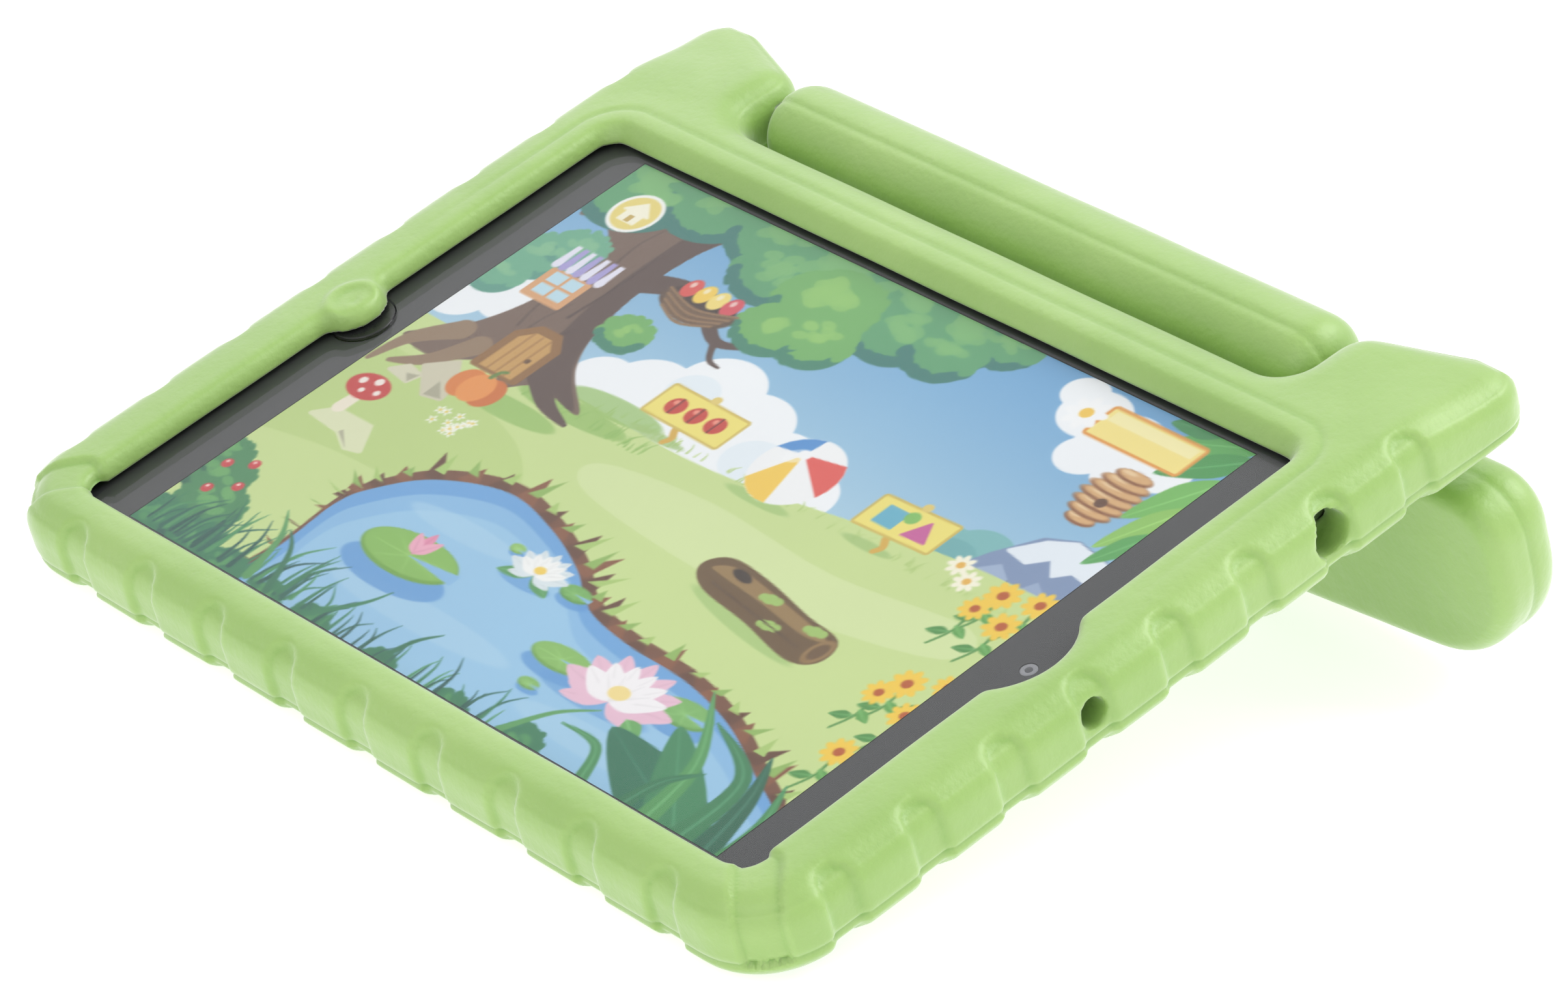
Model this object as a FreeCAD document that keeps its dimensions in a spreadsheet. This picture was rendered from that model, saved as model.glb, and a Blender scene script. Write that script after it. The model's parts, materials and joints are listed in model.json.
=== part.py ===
import FreeCAD, Part
import math
import os

import Sketcher
from FreeCAD import Placement, Rotation, Vector

# A tablet in a foam kids' case. The foam carrying handle turns between the case's two ears
# and is folded back as a stand.
#
# Design frame: millimetres, origin at the display's centre on the glass, X along the long side
# (front camera at +X), Y up the screen towards the ears, Z out of the glass.
# At the end everything is tilted about X into the row's frame, where the case leans back on its
# front edge and on the handle's foot, and the origin is the centre of the footprint, +Z up.

SIZES = {
    # tablet
    "tablet_length": 240.0, "tablet_width": 169.5, "tablet_thick": 7.5, "tablet_corner": 10.0,
    "tablet_back_round": 4.0, "housing_wall": 1.1, "glass_thick": 0.9, "glass_seat": 1.15,
    "glass_gap": 0.15, "border_thick": 0.12, "picture_length": 197.7, "picture_width": 148.4,
    "inner_length": 234.4, "inner_width": 163.6, "floor_thick": 1.0,
    "side_hole_z": -3.75,
    "home_x": -109.25, "home_radius": 7.4, "home_hole_radius": 7.7,
    "camera_x": 109.25, "camera_hole_radius": 2.0,
    "rear_camera_x": 108.45, "rear_camera_y": -72.7, "rear_camera_radius": 3.6,
    "jack_y": 65.8, "jack_radius": 1.75, "jack_barrel_radius": 2.9, "jack_depth": 14.0,
    "mic_hole_radius": 0.5, "port_z": -4.7, "port_width": 8.6, "port_height": 2.8,
    "power_y": -62.0, "volume_up_x": 92.0, "volume_down_x": 78.0,
    "side_button_length": 10.0, "side_button_height": 2.6, "side_button_proud": 0.6,
    "button_gap": 0.12, "button_flange": 0.8, "button_rim": 0.35, "home_rim": 0.3,
    "home_top": -0.1, "home_thick": 0.8, "home_stem_radius": 2.2, "home_stem_length": 0.6,
    "speaker_hole_radius": 0.8, "speaker_hole_pitch": 2.8, "speaker_hole_first": 9.8,
    "jack_block_width": 7.0, "jack_block_height": 5.0,
    "port_shell_width": 10.4, "port_shell_height": 3.4, "port_shell_length": 9.9,
    "port_mouth_depth": 8.0,
    "front_camera_size": 6.6, "front_camera_top": -2.0, "front_camera_thick": 2.6,
    "front_lens_radius": 1.7, "front_lens_length": 0.9,
    "rear_camera_size": 8.4, "rear_camera_top": -1.6, "rear_camera_thick": 3.6,
    "rear_barrel_radius": 3.0, "rear_barrel_length": 1.3,
    "camera_ring_wall": 0.55, "camera_ring_thick": 0.9, "camera_window_thick": 0.7,
    # logic board
    "board_top": -5.6, "board_thick": 0.8, "screw_hole_radius": 0.8, "screw_head_radius": 1.4,
    "screw_head_thick": 0.5, "screw_shank_radius": 0.7, "screw_shank_length": 0.88,
    "can_top": -4.1, "can_thick": 1.5, "can_corner": 1.0,
    # foam case
    "case_half_length": 129.2, "case_bottom": 90.1, "case_top": 92.4,
    "case_front": 5.2, "case_back": 14.0, "case_front_round": 8.0, "case_back_round": 5.6,
    "case_bottom_corner": 19.5, "ear_tip": 127.8, "ear_inner": 89.5, "ear_inner_top": 113.0,
    "ear_tip_corner": 9.4, "ear_inner_corner": 9.0, "ear_root_corner": 8.0,
    "ear_sweep_radius": 16.4, "ear_sweep_gap": 0.6,
    "tablet_gap": 0.15, "lip_gap": 1.4,
    "window_length": 222.0, "window_width": 153.4, "window_corner": 5.5, "window_round": 3.2,
    "lip_relief_length": 232.0, "lip_relief_width": 162.0,
    "home_tab_x": -113.6, "home_tab_radius": 8.6, "camera_notch_x": 101.2,
    "camera_notch_radius": 16.1, "notch_blend": 3.6,
    "rib_width": 9.0, "rib_depth": 1.2, "rib_inset": 5.6,
    "rib_pitch_long": 24.75, "rib_pitch_short": 22.4,
    "mic_access_radius": 3.3, "jack_access_radius": 5.0,
    "port_access_width": 20.0, "port_access_height": 9.0,
    "speaker_slot_y": 30.0, "speaker_slot_width": 22.0, "speaker_slot_height": 4.4,
    "rear_camera_access_radius": 9.0, "rear_camera_access_mouth": 13.0,
    # handle that is also the stand
    "hinge_y": 107.1, "hinge_z": -6.6, "bar_radius": 11.0, "bar_half_length": 86.4,
    "bar_end_round": 8.0, "handle_front_y": 103.1, "handle_thick": 18.5,
    "neck_half_length": 84.0, "neck_top": -9.0, "grip_half_length": 131.0,
    "grip_bow_radius": 900.0, "grip_top_corner": 12.0,
    "grip_foot_corner": 28.0, "neck_corner": 7.0, "handle_front_round": 4.0,
    "handle_back_round": 7.0, "hand_half_length": 58.0, "hand_top": -29.0, "hand_bottom": -55.0,
    "hand_corner": 11.0, "hand_round": 3.5,
    "rod_radius": 2.5, "rod_half_length": 104.0, "bush_radius": 4.5, "bush_start": 91.0,
    "bush_end": 106.0, "running_gap": 0.05,
    # stance
    "tilt": 18.0,
}

# Flat rectangular pieces inside the tablet: centre, size along X and Y, top face and thickness.
FLAT_PIECES = {
    "display_panel": dict(x=0.0, y=0.0, dx=202.4, dy=158.0, top=-1.1, thick=2.3, corner=1.5),
    "display_shield": dict(x=0.0, y=0.0, dx=198.0, dy=154.0, top=-3.45, thick=0.2, corner=1.5),
    "battery_cell_left": dict(x=-48.0, y=-10.0, dx=84.0, dy=118.0, top=-3.85, thick=2.5, corner=3.0),
    "battery_cell_right": dict(x=40.0, y=-10.0, dx=84.0, dy=118.0, top=-3.85, thick=2.5, corner=3.0),
    "battery_connector": dict(x=-4.0, y=53.2, dx=26.0, dy=7.0, top=-5.0, thick=1.3, corner=0.6),
    "display_flex": dict(x=40.0, y=66.0, dx=24.0, dy=14.0, top=-3.75, thick=0.15, corner=0.8),
    "dock_flex": dict(x=-94.6, y=34.0, dx=4.4, dy=76.0, top=-6.2, thick=0.2, corner=0.8),
    "home_switch_bracket": dict(x=-109.25, y=0.0, dx=14.0, dy=24.0, top=-2.45, thick=0.35, corner=1.0),
    "home_switch": dict(x=-109.25, y=0.0, dx=6.0, dy=6.0, top=-1.95, thick=0.5, corner=0.8),
    "power_switch": dict(x=114.75, y=-62.0, dx=1.4, dy=8.0, top=-2.5, thick=2.5, corner=0.3),
    "volume_switches": dict(x=85.0, y=-79.62, dx=26.0, dy=0.85, top=-2.5, thick=2.5, corner=0.3),
    "microphone": dict(x=114.8, y=0.0, dx=3.4, dy=3.6, top=-3.1, thick=1.3, corner=0.3),
    "antenna_upper": dict(x=113.5, y=35.0, dx=5.0, dy=34.0, top=-1.6, thick=0.4, corner=0.6),
    "antenna_lower": dict(x=113.5, y=-32.0, dx=5.0, dy=30.0, top=-1.6, thick=0.4, corner=0.6),
    "speaker_upper": dict(x=-109.6, y=30.0, dx=13.0, dy=26.0, top=-2.2, thick=4.2, corner=2.0),
    "speaker_lower": dict(x=-109.6, y=-30.0, dx=13.0, dy=26.0, top=-2.2, thick=4.2, corner=2.0),
}

# The L-shaped logic board's corners, its screws' centres, and its shield cans' centres and sizes.
BOARD_OUTLINE = [(86.0, -50.0), (108.0, -50.0), (108.0, 58.0), (100.0, 58.0), (100.0, 79.0),
                 (-60.0, 79.0), (-60.0, 58.0), (86.0, 58.0)]
SCREW_PLACES = [(-56.0, 75.0), (20.0, 75.0), (96.0, 75.0), (104.0, 54.0), (104.0, 4.0),
                (90.0, -46.0)]
SHIELD_CANS = [(-30.0, 67.0, 40.0, 12.0), (66.0, 67.0, 22.0, 12.0), (97.0, 28.0, 18.0, 34.0),
               (97.0, -22.0, 18.0, 34.0)]

# The parts' nodes, in the order they are written.
PARTS = []

doc = FreeCAD.newDocument("TabletInFoamCase")
sheet = doc.addObject("Spreadsheet::Sheet", "Sizes")


# ---------------------------------------------------------------- sheet and expressions

def fill_sheet():
    """Write every driving dimension into the sheet, one alias per row."""
    rows = dict(SIZES)
    for label, piece in FLAT_PIECES.items():
        for key, number in piece.items():
            rows[label + "_" + key] = number
    for row, (alias, number) in enumerate(rows.items(), start=1):
        sheet.set("A%d" % row, alias)
        sheet.set("B%d" % row, str(number))
        sheet.setAlias("B%d" % row, alias)
    doc.recompute()


def value(expression):
    """The number that an expression of sheet aliases gives, such as 'Sizes.tilt / 2'."""
    result = sheet.evalExpression(expression)
    return float(getattr(result, "Value", result))


def bind(item, expressions):
    """Bind an object's properties to expressions of the sheet."""
    for name, expression in expressions.items():
        item.setExpression(name, expression)


# ---------------------------------------------------------------- sketches and features

def new_body(label):
    body = doc.addObject("PartDesign::Body", label)
    body.Label = label
    return body


def plane_of(body, role):
    return next(item for item in body.Origin.OriginFeatures if item.Role == role)


def new_sketch(body, name, role="XY_Plane", offset="0"):
    """A sketch on one of the body's origin planes, moved along the plane's normal by offset."""
    sketch = body.newObject("Sketcher::SketchObject", name)
    sketch.AttachmentSupport = [(plane_of(body, role), "")]
    sketch.MapMode = "FlatFace"
    bind(sketch, {"AttachmentOffset.Base.z": offset})
    return sketch


def pin_point(sketch, geometry, point, x, y, name):
    """Fix a sketch point's two coordinates by expressions."""
    for kind, expression in (("DistanceX", x), ("DistanceY", y)):
        index = sketch.addConstraint(
            Sketcher.Constraint(kind, -1, 1, geometry, point, value(expression)))
        sketch.renameConstraint(index, name + kind[-1])
        bind(sketch, {"Constraints." + name + kind[-1]: expression})


def arc_between(start, end, radius):
    """The short counter-clockwise arc of a radius between two points."""
    half = (end - start) * 0.5
    left = Vector(-half.y, half.x, 0).normalize()
    centre = start + half + left * math.sqrt(radius ** 2 - half.Length ** 2)
    first = math.atan2(start.y - centre.y, start.x - centre.x)
    last = math.atan2(end.y - centre.y, end.x - centre.x)
    return Part.ArcOfCircle(Part.Circle(centre, Vector(0, 0, 1), radius), first, last)


def draw_outline(sketch, points, arcs=None, prefix="p"):
    """A closed outline through points, given counter-clockwise as pairs of expressions. arcs maps
    the number of a side to its radius, for sides that bulge outwards."""
    arcs = arcs or {}
    corners = [Vector(value(x), value(y), 0) for x, y in points]
    first = sketch.GeometryCount
    count = len(corners)
    for side in range(count):
        start, end = corners[side], corners[(side + 1) % count]
        if side in arcs:
            sketch.addGeometry(arc_between(start, end, value(arcs[side])), False)
        else:
            sketch.addGeometry(Part.LineSegment(start, end), False)
    for side in range(count):
        after = (side + 1) % count
        sketch.addConstraint(Sketcher.Constraint("Coincident", first + side, 2, first + after, 1))
        pin_point(sketch, first + side, 1, points[side][0], points[side][1], prefix + str(side))
    for side, radius in arcs.items():
        index = sketch.addConstraint(Sketcher.Constraint("Radius", first + side, value(radius)))
        sketch.renameConstraint(index, prefix + "radius" + str(side))
        bind(sketch, {"Constraints." + prefix + "radius" + str(side): radius})


def draw_rectangle(sketch, x, y, dx, dy, prefix="p"):
    """A rectangle about a centre."""
    low_x, high_x = "(%s) - (%s) / 2" % (x, dx), "(%s) + (%s) / 2" % (x, dx)
    low_y, high_y = "(%s) - (%s) / 2" % (y, dy), "(%s) + (%s) / 2" % (y, dy)
    draw_outline(sketch, [(low_x, low_y), (high_x, low_y), (high_x, high_y), (low_x, high_y)],
                 prefix=prefix)


def draw_circle(sketch, x, y, radius, prefix="c"):
    circle = Part.Circle(Vector(value(x), value(y), 0), Vector(0, 0, 1), value(radius))
    geometry = sketch.addGeometry(circle, False)
    pin_point(sketch, geometry, 3, x, y, prefix)
    index = sketch.addConstraint(Sketcher.Constraint("Radius", geometry, value(radius)))
    sketch.renameConstraint(index, prefix + "radius")
    bind(sketch, {"Constraints." + prefix + "radius": radius})


def pad(body, sketch, length, name, reverse=False, midplane=False):
    feature = body.newObject("PartDesign::Pad", name)
    feature.Profile = sketch
    feature.Reversed = reverse
    feature.Midplane = midplane
    bind(feature, {"Length": length})
    doc.recompute()
    return feature


def pocket(body, sketch, length, name, reverse=False, through=False):
    """Cut a sketch out of a body, and make sure that it did remove material."""
    before = body.Shape.Volume
    feature = body.newObject("PartDesign::Pocket", name)
    feature.Profile = sketch
    feature.Reversed = reverse
    if through:
        feature.Type = "ThroughAll"
        feature.Midplane = True
    else:
        bind(feature, {"Length": length})
    doc.recompute()
    if not body.Shape.Volume < before - 1e-6:
        raise RuntimeError("pocket %s of %s removes nothing" % (name, body.Label))
    return feature


def round_edges(body, wanted, radius, name):
    """Fillet those edges of a body's tip for which wanted(edge) is true."""
    base = body.Tip
    names = ["Edge%d" % number for number, edge in enumerate(base.Shape.Edges, start=1)
             if wanted(edge)]
    if not names:
        raise RuntimeError("no edge to round for %s of %s" % (name, body.Label))
    feature = body.newObject("PartDesign::Fillet", name)
    feature.Base = (base, names)
    bind(feature, {"Radius": radius})
    doc.recompute()
    return feature


def edge_span(edge):
    """Lowest and highest corner of an edge's box, from points along it."""
    points = edge.discretize(5)
    low = Vector(*(min(getattr(point, axis) for point in points) for axis in "xyz"))
    high = Vector(*(max(getattr(point, axis) for point in points) for axis in "xyz"))
    return low, high


def upright_near(points, axis="z", reach=0.6):
    """Test for straight edges along one axis that stand at one of some points."""
    across = [name for name in "xyz" if name != axis]

    def test(edge):
        low, high = edge_span(edge)
        if any(getattr(high - low, name) > 1e-3 for name in across):
            return False
        place = [getattr(low, name) for name in across]
        return any(math.dist(place, point) < reach for point in points)
    return test


def lying_at(axis, level, inside=None):
    """Test for edges that lie in the plane axis = level, and wholly inside a box if given."""
    def test(edge):
        low, high = edge_span(edge)
        if abs(getattr(low, axis) - level) > 1e-3 or abs(getattr(high, axis) - level) > 1e-3:
            return False
        if inside is None:
            return True
        return all(inside[name][0] <= getattr(low, name) and getattr(high, name) <= inside[name][1]
                   for name in inside)
    return test


def corners_of(x, y, dx, dy):
    return [(x + side_x * dx / 2, y + side_y * dy / 2)
            for side_x in (-1, 1) for side_y in (-1, 1)]


def plate(label, x, y, dx, dy, top, thick, corner=None):
    """A flat rectangular body below a level, with rounded upright corners."""
    body = new_body(label)
    sketch = new_sketch(body, label + "_outline", offset=top)
    draw_rectangle(sketch, x, y, dx, dy)
    pad(body, sketch, thick, label + "_pad", reverse=True)
    if corner:
        points = corners_of(value(x), value(y), value(dx), value(dy))
        round_edges(body, upright_near(points), corner, label + "_corners")
    return body


def disc(label, x, y, radius, top, thick):
    """A round flat body below a level."""
    body = new_body(label)
    sketch = new_sketch(body, label + "_outline", offset=top)
    draw_circle(sketch, x, y, radius)
    pad(body, sketch, thick, label + "_pad", reverse=True)
    return body


def round_bar(label, start, end, y, z, radius):
    """A round body along X from start to end."""
    body = new_body(label)
    sketch = new_sketch(body, label + "_outline", role="YZ_Plane", offset=start)
    draw_circle(sketch, y, z, radius)
    pad(body, sketch, "(%s) - (%s)" % (end, start), label + "_pad")
    return body


def cross_plate(label, start, end, y, z, dy, dz, corner=None):
    """A body along X from start to end with a rectangular section."""
    body = new_body(label)
    sketch = new_sketch(body, label + "_outline", role="YZ_Plane", offset=start)
    draw_rectangle(sketch, y, z, dy, dz)
    pad(body, sketch, "(%s) - (%s)" % (end, start), label + "_pad")
    if corner:
        points = corners_of(value(y), value(z), value(dy), value(dz))
        round_edges(body, upright_near(points, axis="x"), corner, label + "_corners")
    return body


def fuse(name, items):
    union = doc.addObject("Part::MultiFuse", name)
    union.Shapes = items
    doc.recompute()
    return union


def cut(label, base, tool):
    result = doc.addObject("Part::Cut", label)
    result.Base = base
    result.Tool = tool
    result.Label = label
    doc.recompute()
    return result


def part(item):
    """Count an object as one of the parts that are written."""
    PARTS.append(item)
    return item


# ---------------------------------------------------------------- foam case

def case_blank(label, inset):
    """The case as a solid slab with ears and soft rims, smaller by inset on every face."""
    half = "Sizes.case_half_length - " + inset
    inner = "Sizes.ear_inner + " + inset
    top = "Sizes.case_top - " + inset
    tip = "Sizes.ear_tip - " + inset
    inner_top = "Sizes.ear_inner_top - " + inset
    bottom = "%s - Sizes.case_bottom" % inset
    back = "%s - Sizes.case_back" % inset
    thick = "Sizes.case_front + Sizes.case_back - 2 * " + inset
    body = new_body(label)
    sketch = new_sketch(body, label + "_outline", offset=back)
    draw_outline(sketch, [
        ("-(%s)" % half, bottom), (half, bottom), (half, tip), (inner, inner_top), (inner, top),
        ("-(%s)" % inner, top), ("-(%s)" % inner, inner_top), ("-(%s)" % half, tip)])
    pad(body, sketch, thick, label + "_pad")

    corners = (
        (half, bottom, "Sizes.case_bottom_corner - " + inset, "bottom"),
        (half, tip, "Sizes.ear_tip_corner - " + inset, "tip"),
        (inner, inner_top, "Sizes.ear_inner_corner - " + inset, "inner"),
        (inner, top, "Sizes.ear_root_corner + " + inset, "root"),
    )
    for x, y, radius, name in corners:
        points = [(side * value(x), value(y)) for side in (-1, 1)]
        round_edges(body, upright_near(points), radius, label + "_" + name)
    for level, side in ((value(back) + value(thick), "front"), (value(back), "back")):
        round_edges(body, lying_at("z", level), "Sizes.case_%s_round - %s" % (side, inset),
                    "%s_%s_rim" % (label, side))
    return body


def rib_pockets(body):
    """Thumb-shaped grooves right through the slab's edge; the core fills them to their depth."""
    reach = "Sizes.case_half_length - Sizes.rib_inset"
    half_rib = "Sizes.rib_width / 2"
    beyond = "Sizes.case_half_length + 2"
    low_end = "0 - Sizes.case_bottom + Sizes.rib_inset - Sizes.rib_width / 2"
    side_start = "%s + %s" % (reach, half_rib)
    first_long = "-4 * Sizes.rib_pitch_long"
    first_short = "-3 * Sizes.rib_pitch_short"

    bottom = new_sketch(body, "bottom_rib")
    draw_outline(bottom, [
        (first_long + " - " + half_rib, "0 - Sizes.case_bottom - 2"),
        (first_long + " + " + half_rib, "0 - Sizes.case_bottom - 2"),
        (first_long + " + " + half_rib, low_end),
        (first_long + " - " + half_rib, low_end)], arcs={2: half_rib + " + 0.001"})
    bottom_rib = pocket(body, bottom, None, "bottom_rib_pocket", through=True)
    side = new_sketch(body, "side_rib")
    draw_outline(side, [
        (side_start, first_short + " - " + half_rib), (beyond, first_short + " - " + half_rib),
        (beyond, first_short + " + " + half_rib), (side_start, first_short + " + " + half_rib)],
        arcs={3: half_rib + " + 0.001"})
    side_rib = pocket(body, side, None, "side_rib_pocket", through=True)

    repeat(body, [bottom_rib], "X_Axis", "8 * Sizes.rib_pitch_long", 9, "bottom_ribs")
    repeat(body, [side_rib], "Y_Axis", "7 * Sizes.rib_pitch_short", 8, "side_ribs")
    other_side = new_sketch(body, "other_side_rib")
    draw_outline(other_side, [
        ("-(%s)" % beyond, first_short + " - " + half_rib),
        ("-(%s)" % side_start, first_short + " - " + half_rib),
        ("-(%s)" % side_start, first_short + " + " + half_rib),
        ("-(%s)" % beyond, first_short + " + " + half_rib)],
        arcs={1: half_rib + " + 0.001"})
    other_rib = pocket(body, other_side, None, "other_side_rib_pocket", through=True)
    repeat(body, [other_rib], "Y_Axis", "7 * Sizes.rib_pitch_short", 8, "other_side_ribs")


def repeat(body, features, axis_role, length, count, name):
    """Repeat features along an axis of the body, over a length."""
    pattern = body.newObject("PartDesign::LinearPattern", name)
    pattern.Originals = features
    pattern.Direction = (plane_of(body, axis_role), [""])
    pattern.Occurrences = count
    bind(pattern, {"Length": length})
    body.Tip = pattern
    doc.recompute()
    return pattern


def window_space():
    """The screen window, with a tab over the home button and a notch round the front camera."""
    body = new_body("window_space")
    height = "Sizes.case_front + 1"
    sketch = new_sketch(body, "window_outline")
    draw_rectangle(sketch, "0", "0", "Sizes.window_length", "Sizes.window_width")
    pad(body, sketch, height, "window_pad")
    corners = corners_of(0, 0, value("Sizes.window_length"), value("Sizes.window_width"))
    round_edges(body, upright_near(corners), "Sizes.window_corner", "window_corners")
    notch = new_sketch(body, "camera_notch")
    draw_circle(notch, "Sizes.camera_notch_x", "0", "Sizes.camera_notch_radius")
    pad(body, notch, height, "camera_notch_pad")
    tab = new_sketch(body, "home_tab")
    draw_circle(tab, "Sizes.home_tab_x", "0", "Sizes.home_tab_radius")
    pocket(body, tab, None, "home_tab_pocket", through=True)
    side = value("Sizes.window_length / 2")
    cusps = []
    for sign, centre, radius in ((-1, "Sizes.home_tab_x", "Sizes.home_tab_radius"),
                                 (1, "Sizes.camera_notch_x", "Sizes.camera_notch_radius")):
        reach = math.sqrt(value(radius) ** 2 - (sign * side - value(centre)) ** 2)
        cusps += [(sign * side, reach), (sign * side, -reach)]
    round_edges(body, upright_near(cusps), "Sizes.notch_blend", "window_cusps")
    return body


def tablet_space():
    """The pocket that holds the tablet, with a little room all round and a relief below the lip."""
    gap = "2 * Sizes.tablet_gap"
    floor = "Sizes.tablet_thick + 2 * Sizes.tablet_gap"
    pocket_body = plate("tablet_pocket", "0", "0", "Sizes.tablet_length + " + gap,
                        "Sizes.tablet_width + " + gap, "Sizes.tablet_gap", floor,
                        corner="Sizes.tablet_corner")
    level = value("-Sizes.tablet_thick - Sizes.tablet_gap")
    round_edges(pocket_body, lying_at("z", level), "Sizes.tablet_back_round", "pocket_back_round")
    relief = plate("lip_relief", "0", "0", "Sizes.lip_relief_length", "Sizes.lip_relief_width",
                   "Sizes.lip_gap", "Sizes.lip_gap + 1", corner="Sizes.window_corner")
    return [pocket_body, relief]


def button_spaces():
    """Room in the foam for the buttons that stand proud of the tablet's edges."""
    room = "Sizes.side_button_length + 2"
    high = "Sizes.side_button_height + 1.4"
    deep = "2 * (Sizes.side_button_proud + 0.5)"
    power = cross_plate("power_space", "Sizes.tablet_length / 2 - 1",
                        "Sizes.tablet_length / 2 + Sizes.side_button_proud + 0.5",
                        "Sizes.power_y", "Sizes.side_hole_z", room, high)
    volume = plate("volume_space", "(Sizes.volume_up_x + Sizes.volume_down_x) / 2",
                   "-Sizes.tablet_width / 2",
                   "Sizes.volume_up_x - Sizes.volume_down_x + " + room, deep,
                   "Sizes.side_hole_z + (%s) / 2" % high, high)
    return [power, volume]


def access_spaces():
    """Holes from outside to the microphone, jack, charging port, speakers and rear camera."""
    outside = "Sizes.case_half_length + 2"
    inside = "Sizes.tablet_length / 2 - 1"
    spaces = [
        round_bar("mic_access", inside, outside, "0", "Sizes.side_hole_z",
                  "Sizes.mic_access_radius"),
        round_bar("jack_access", inside, outside, "Sizes.jack_y", "Sizes.side_hole_z",
                  "Sizes.jack_access_radius"),
        cross_plate("port_access", "-(%s)" % outside, "-(%s)" % inside, "0", "Sizes.port_z",
                    "Sizes.port_access_width", "Sizes.port_access_height", corner="3"),
    ]
    for side, name in ((-1, "lower"), (1, "upper")):
        spaces.append(cross_plate(
            "speaker_access_" + name, "-(%s)" % outside, "-(%s)" % inside,
            "%d * Sizes.speaker_slot_y" % side, "Sizes.side_hole_z",
            "Sizes.speaker_slot_width", "Sizes.speaker_slot_height", corner="2"))
    funnel = doc.addObject("Part::Cone", "rear_camera_access")
    bind(funnel, {
        "Radius1": "Sizes.rear_camera_access_mouth", "Radius2": "Sizes.rear_camera_access_radius",
        "Height": "Sizes.case_back - Sizes.tablet_thick + 1",
        "Placement.Base.x": "Sizes.rear_camera_x", "Placement.Base.y": "Sizes.rear_camera_y",
        "Placement.Base.z": "-Sizes.case_back"})
    return spaces + [funnel]


def ear_sweep_spaces():
    """What is cut off each ear so that its upper half stays within the swinging handle's path."""
    spaces = []
    for side, name in ((-1, "left"), (1, "right")):
        outer = "%d * (Sizes.case_half_length + 1)" % side
        inner = "%d * (Sizes.ear_inner - 1)" % side
        low, high = (outer, inner) if side < 0 else (inner, outer)
        height = "Sizes.ear_tip - Sizes.hinge_y + 1"
        block = cross_plate("ear_block_" + name, low, high,
                            "Sizes.hinge_y + (%s) / 2" % height, "Sizes.hinge_z", height,
                            "2 * (Sizes.case_front - Sizes.hinge_z + 1)")
        drum = round_bar("ear_drum_" + name, low, high, "Sizes.hinge_y", "Sizes.hinge_z",
                         "Sizes.ear_sweep_radius")
        spaces.append(cut("ear_sweep_" + name, block, drum))
    return spaces


def case_half_space(side):
    """Everything of the case's height on one side of the level where its front and back meet."""
    height = "Sizes.case_back + Sizes.case_front"
    space = doc.addObject("Part::Box", "case_space_above" if side > 0 else "case_space_below")
    bind(space, {
        "Length": "2 * Sizes.case_half_length", "Width": "2 * Sizes.ear_tip", "Height": height,
        "Placement.Base.x": "-Sizes.case_half_length", "Placement.Base.y": "-Sizes.ear_tip",
        "Placement.Base.z": "Sizes.tablet_gap - (%s) * %d" % (height, side < 0)})
    return space


def foam_case():
    """The moulded case: ribbed slab, hollowed for the tablet, its window, holes and bushes. The
    front rim and the tub behind it are two pieces, which meet at the level of the tablet's face."""
    grooved = case_blank("grooved_blank", "0")
    rib_pockets(grooved)
    core = case_blank("core_blank", "Sizes.rib_depth")
    blank = fuse("ribbed_blank", [grooved, core])
    bush_holes = [
        round_bar("bush_hole_" + name, low, high, "Sizes.hinge_y", "Sizes.hinge_z",
                  "Sizes.bush_radius")
        for name, low, high in (
            ("left", "-Sizes.bush_end", "-Sizes.ear_inner + 4"),
            ("right", "Sizes.ear_inner - 4", "Sizes.bush_end"))]
    spaces = [window_space()] + tablet_space() + button_spaces() + access_spaces() + bush_holes
    spaces += ear_sweep_spaces()
    hollowed = cut("hollowed_blank", blank, fuse("case_spaces", spaces))

    reach = value("Sizes.window_length / 2") + 7.5
    window = {"x": (-reach, reach), "y": (-78.0, 78.0)}
    rim = lying_at("z", value("Sizes.case_front"), window)
    radius = value("Sizes.window_round")
    case = doc.addObject("Part::Fillet", "rounded_case")
    case.Base = hollowed
    case.Edges = [(number, radius, radius)
                  for number, edge in enumerate(hollowed.Shape.Edges, start=1) if rim(edge)]
    doc.recompute()
    for side, name in ((1, "front"), (-1, "back")):
        part(cut("foam_case_" + name, case, case_half_space(-side)))


# ---------------------------------------------------------------- handle and its hinge

GRIP_TOP = "(Sizes.hinge_z - Sizes.ear_sweep_radius - Sizes.ear_sweep_gap)"


def foot_level():
    """Z of the bowed foot's middle, so that the tilted case's lower edge and the foot's front
    edge rest on one plane. Both edges are round, so their centres set the level."""
    run = value("Sizes.handle_front_y + Sizes.handle_front_round"
                " + Sizes.case_bottom - Sizes.case_back_round")
    rounds = value("Sizes.case_back_round - Sizes.handle_front_round")
    tilt = math.radians(value("Sizes.tilt"))
    return (value("Sizes.case_back_round - Sizes.case_back - Sizes.handle_front_round")
            - run * math.tan(tilt) - rounds / math.cos(tilt))


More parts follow.
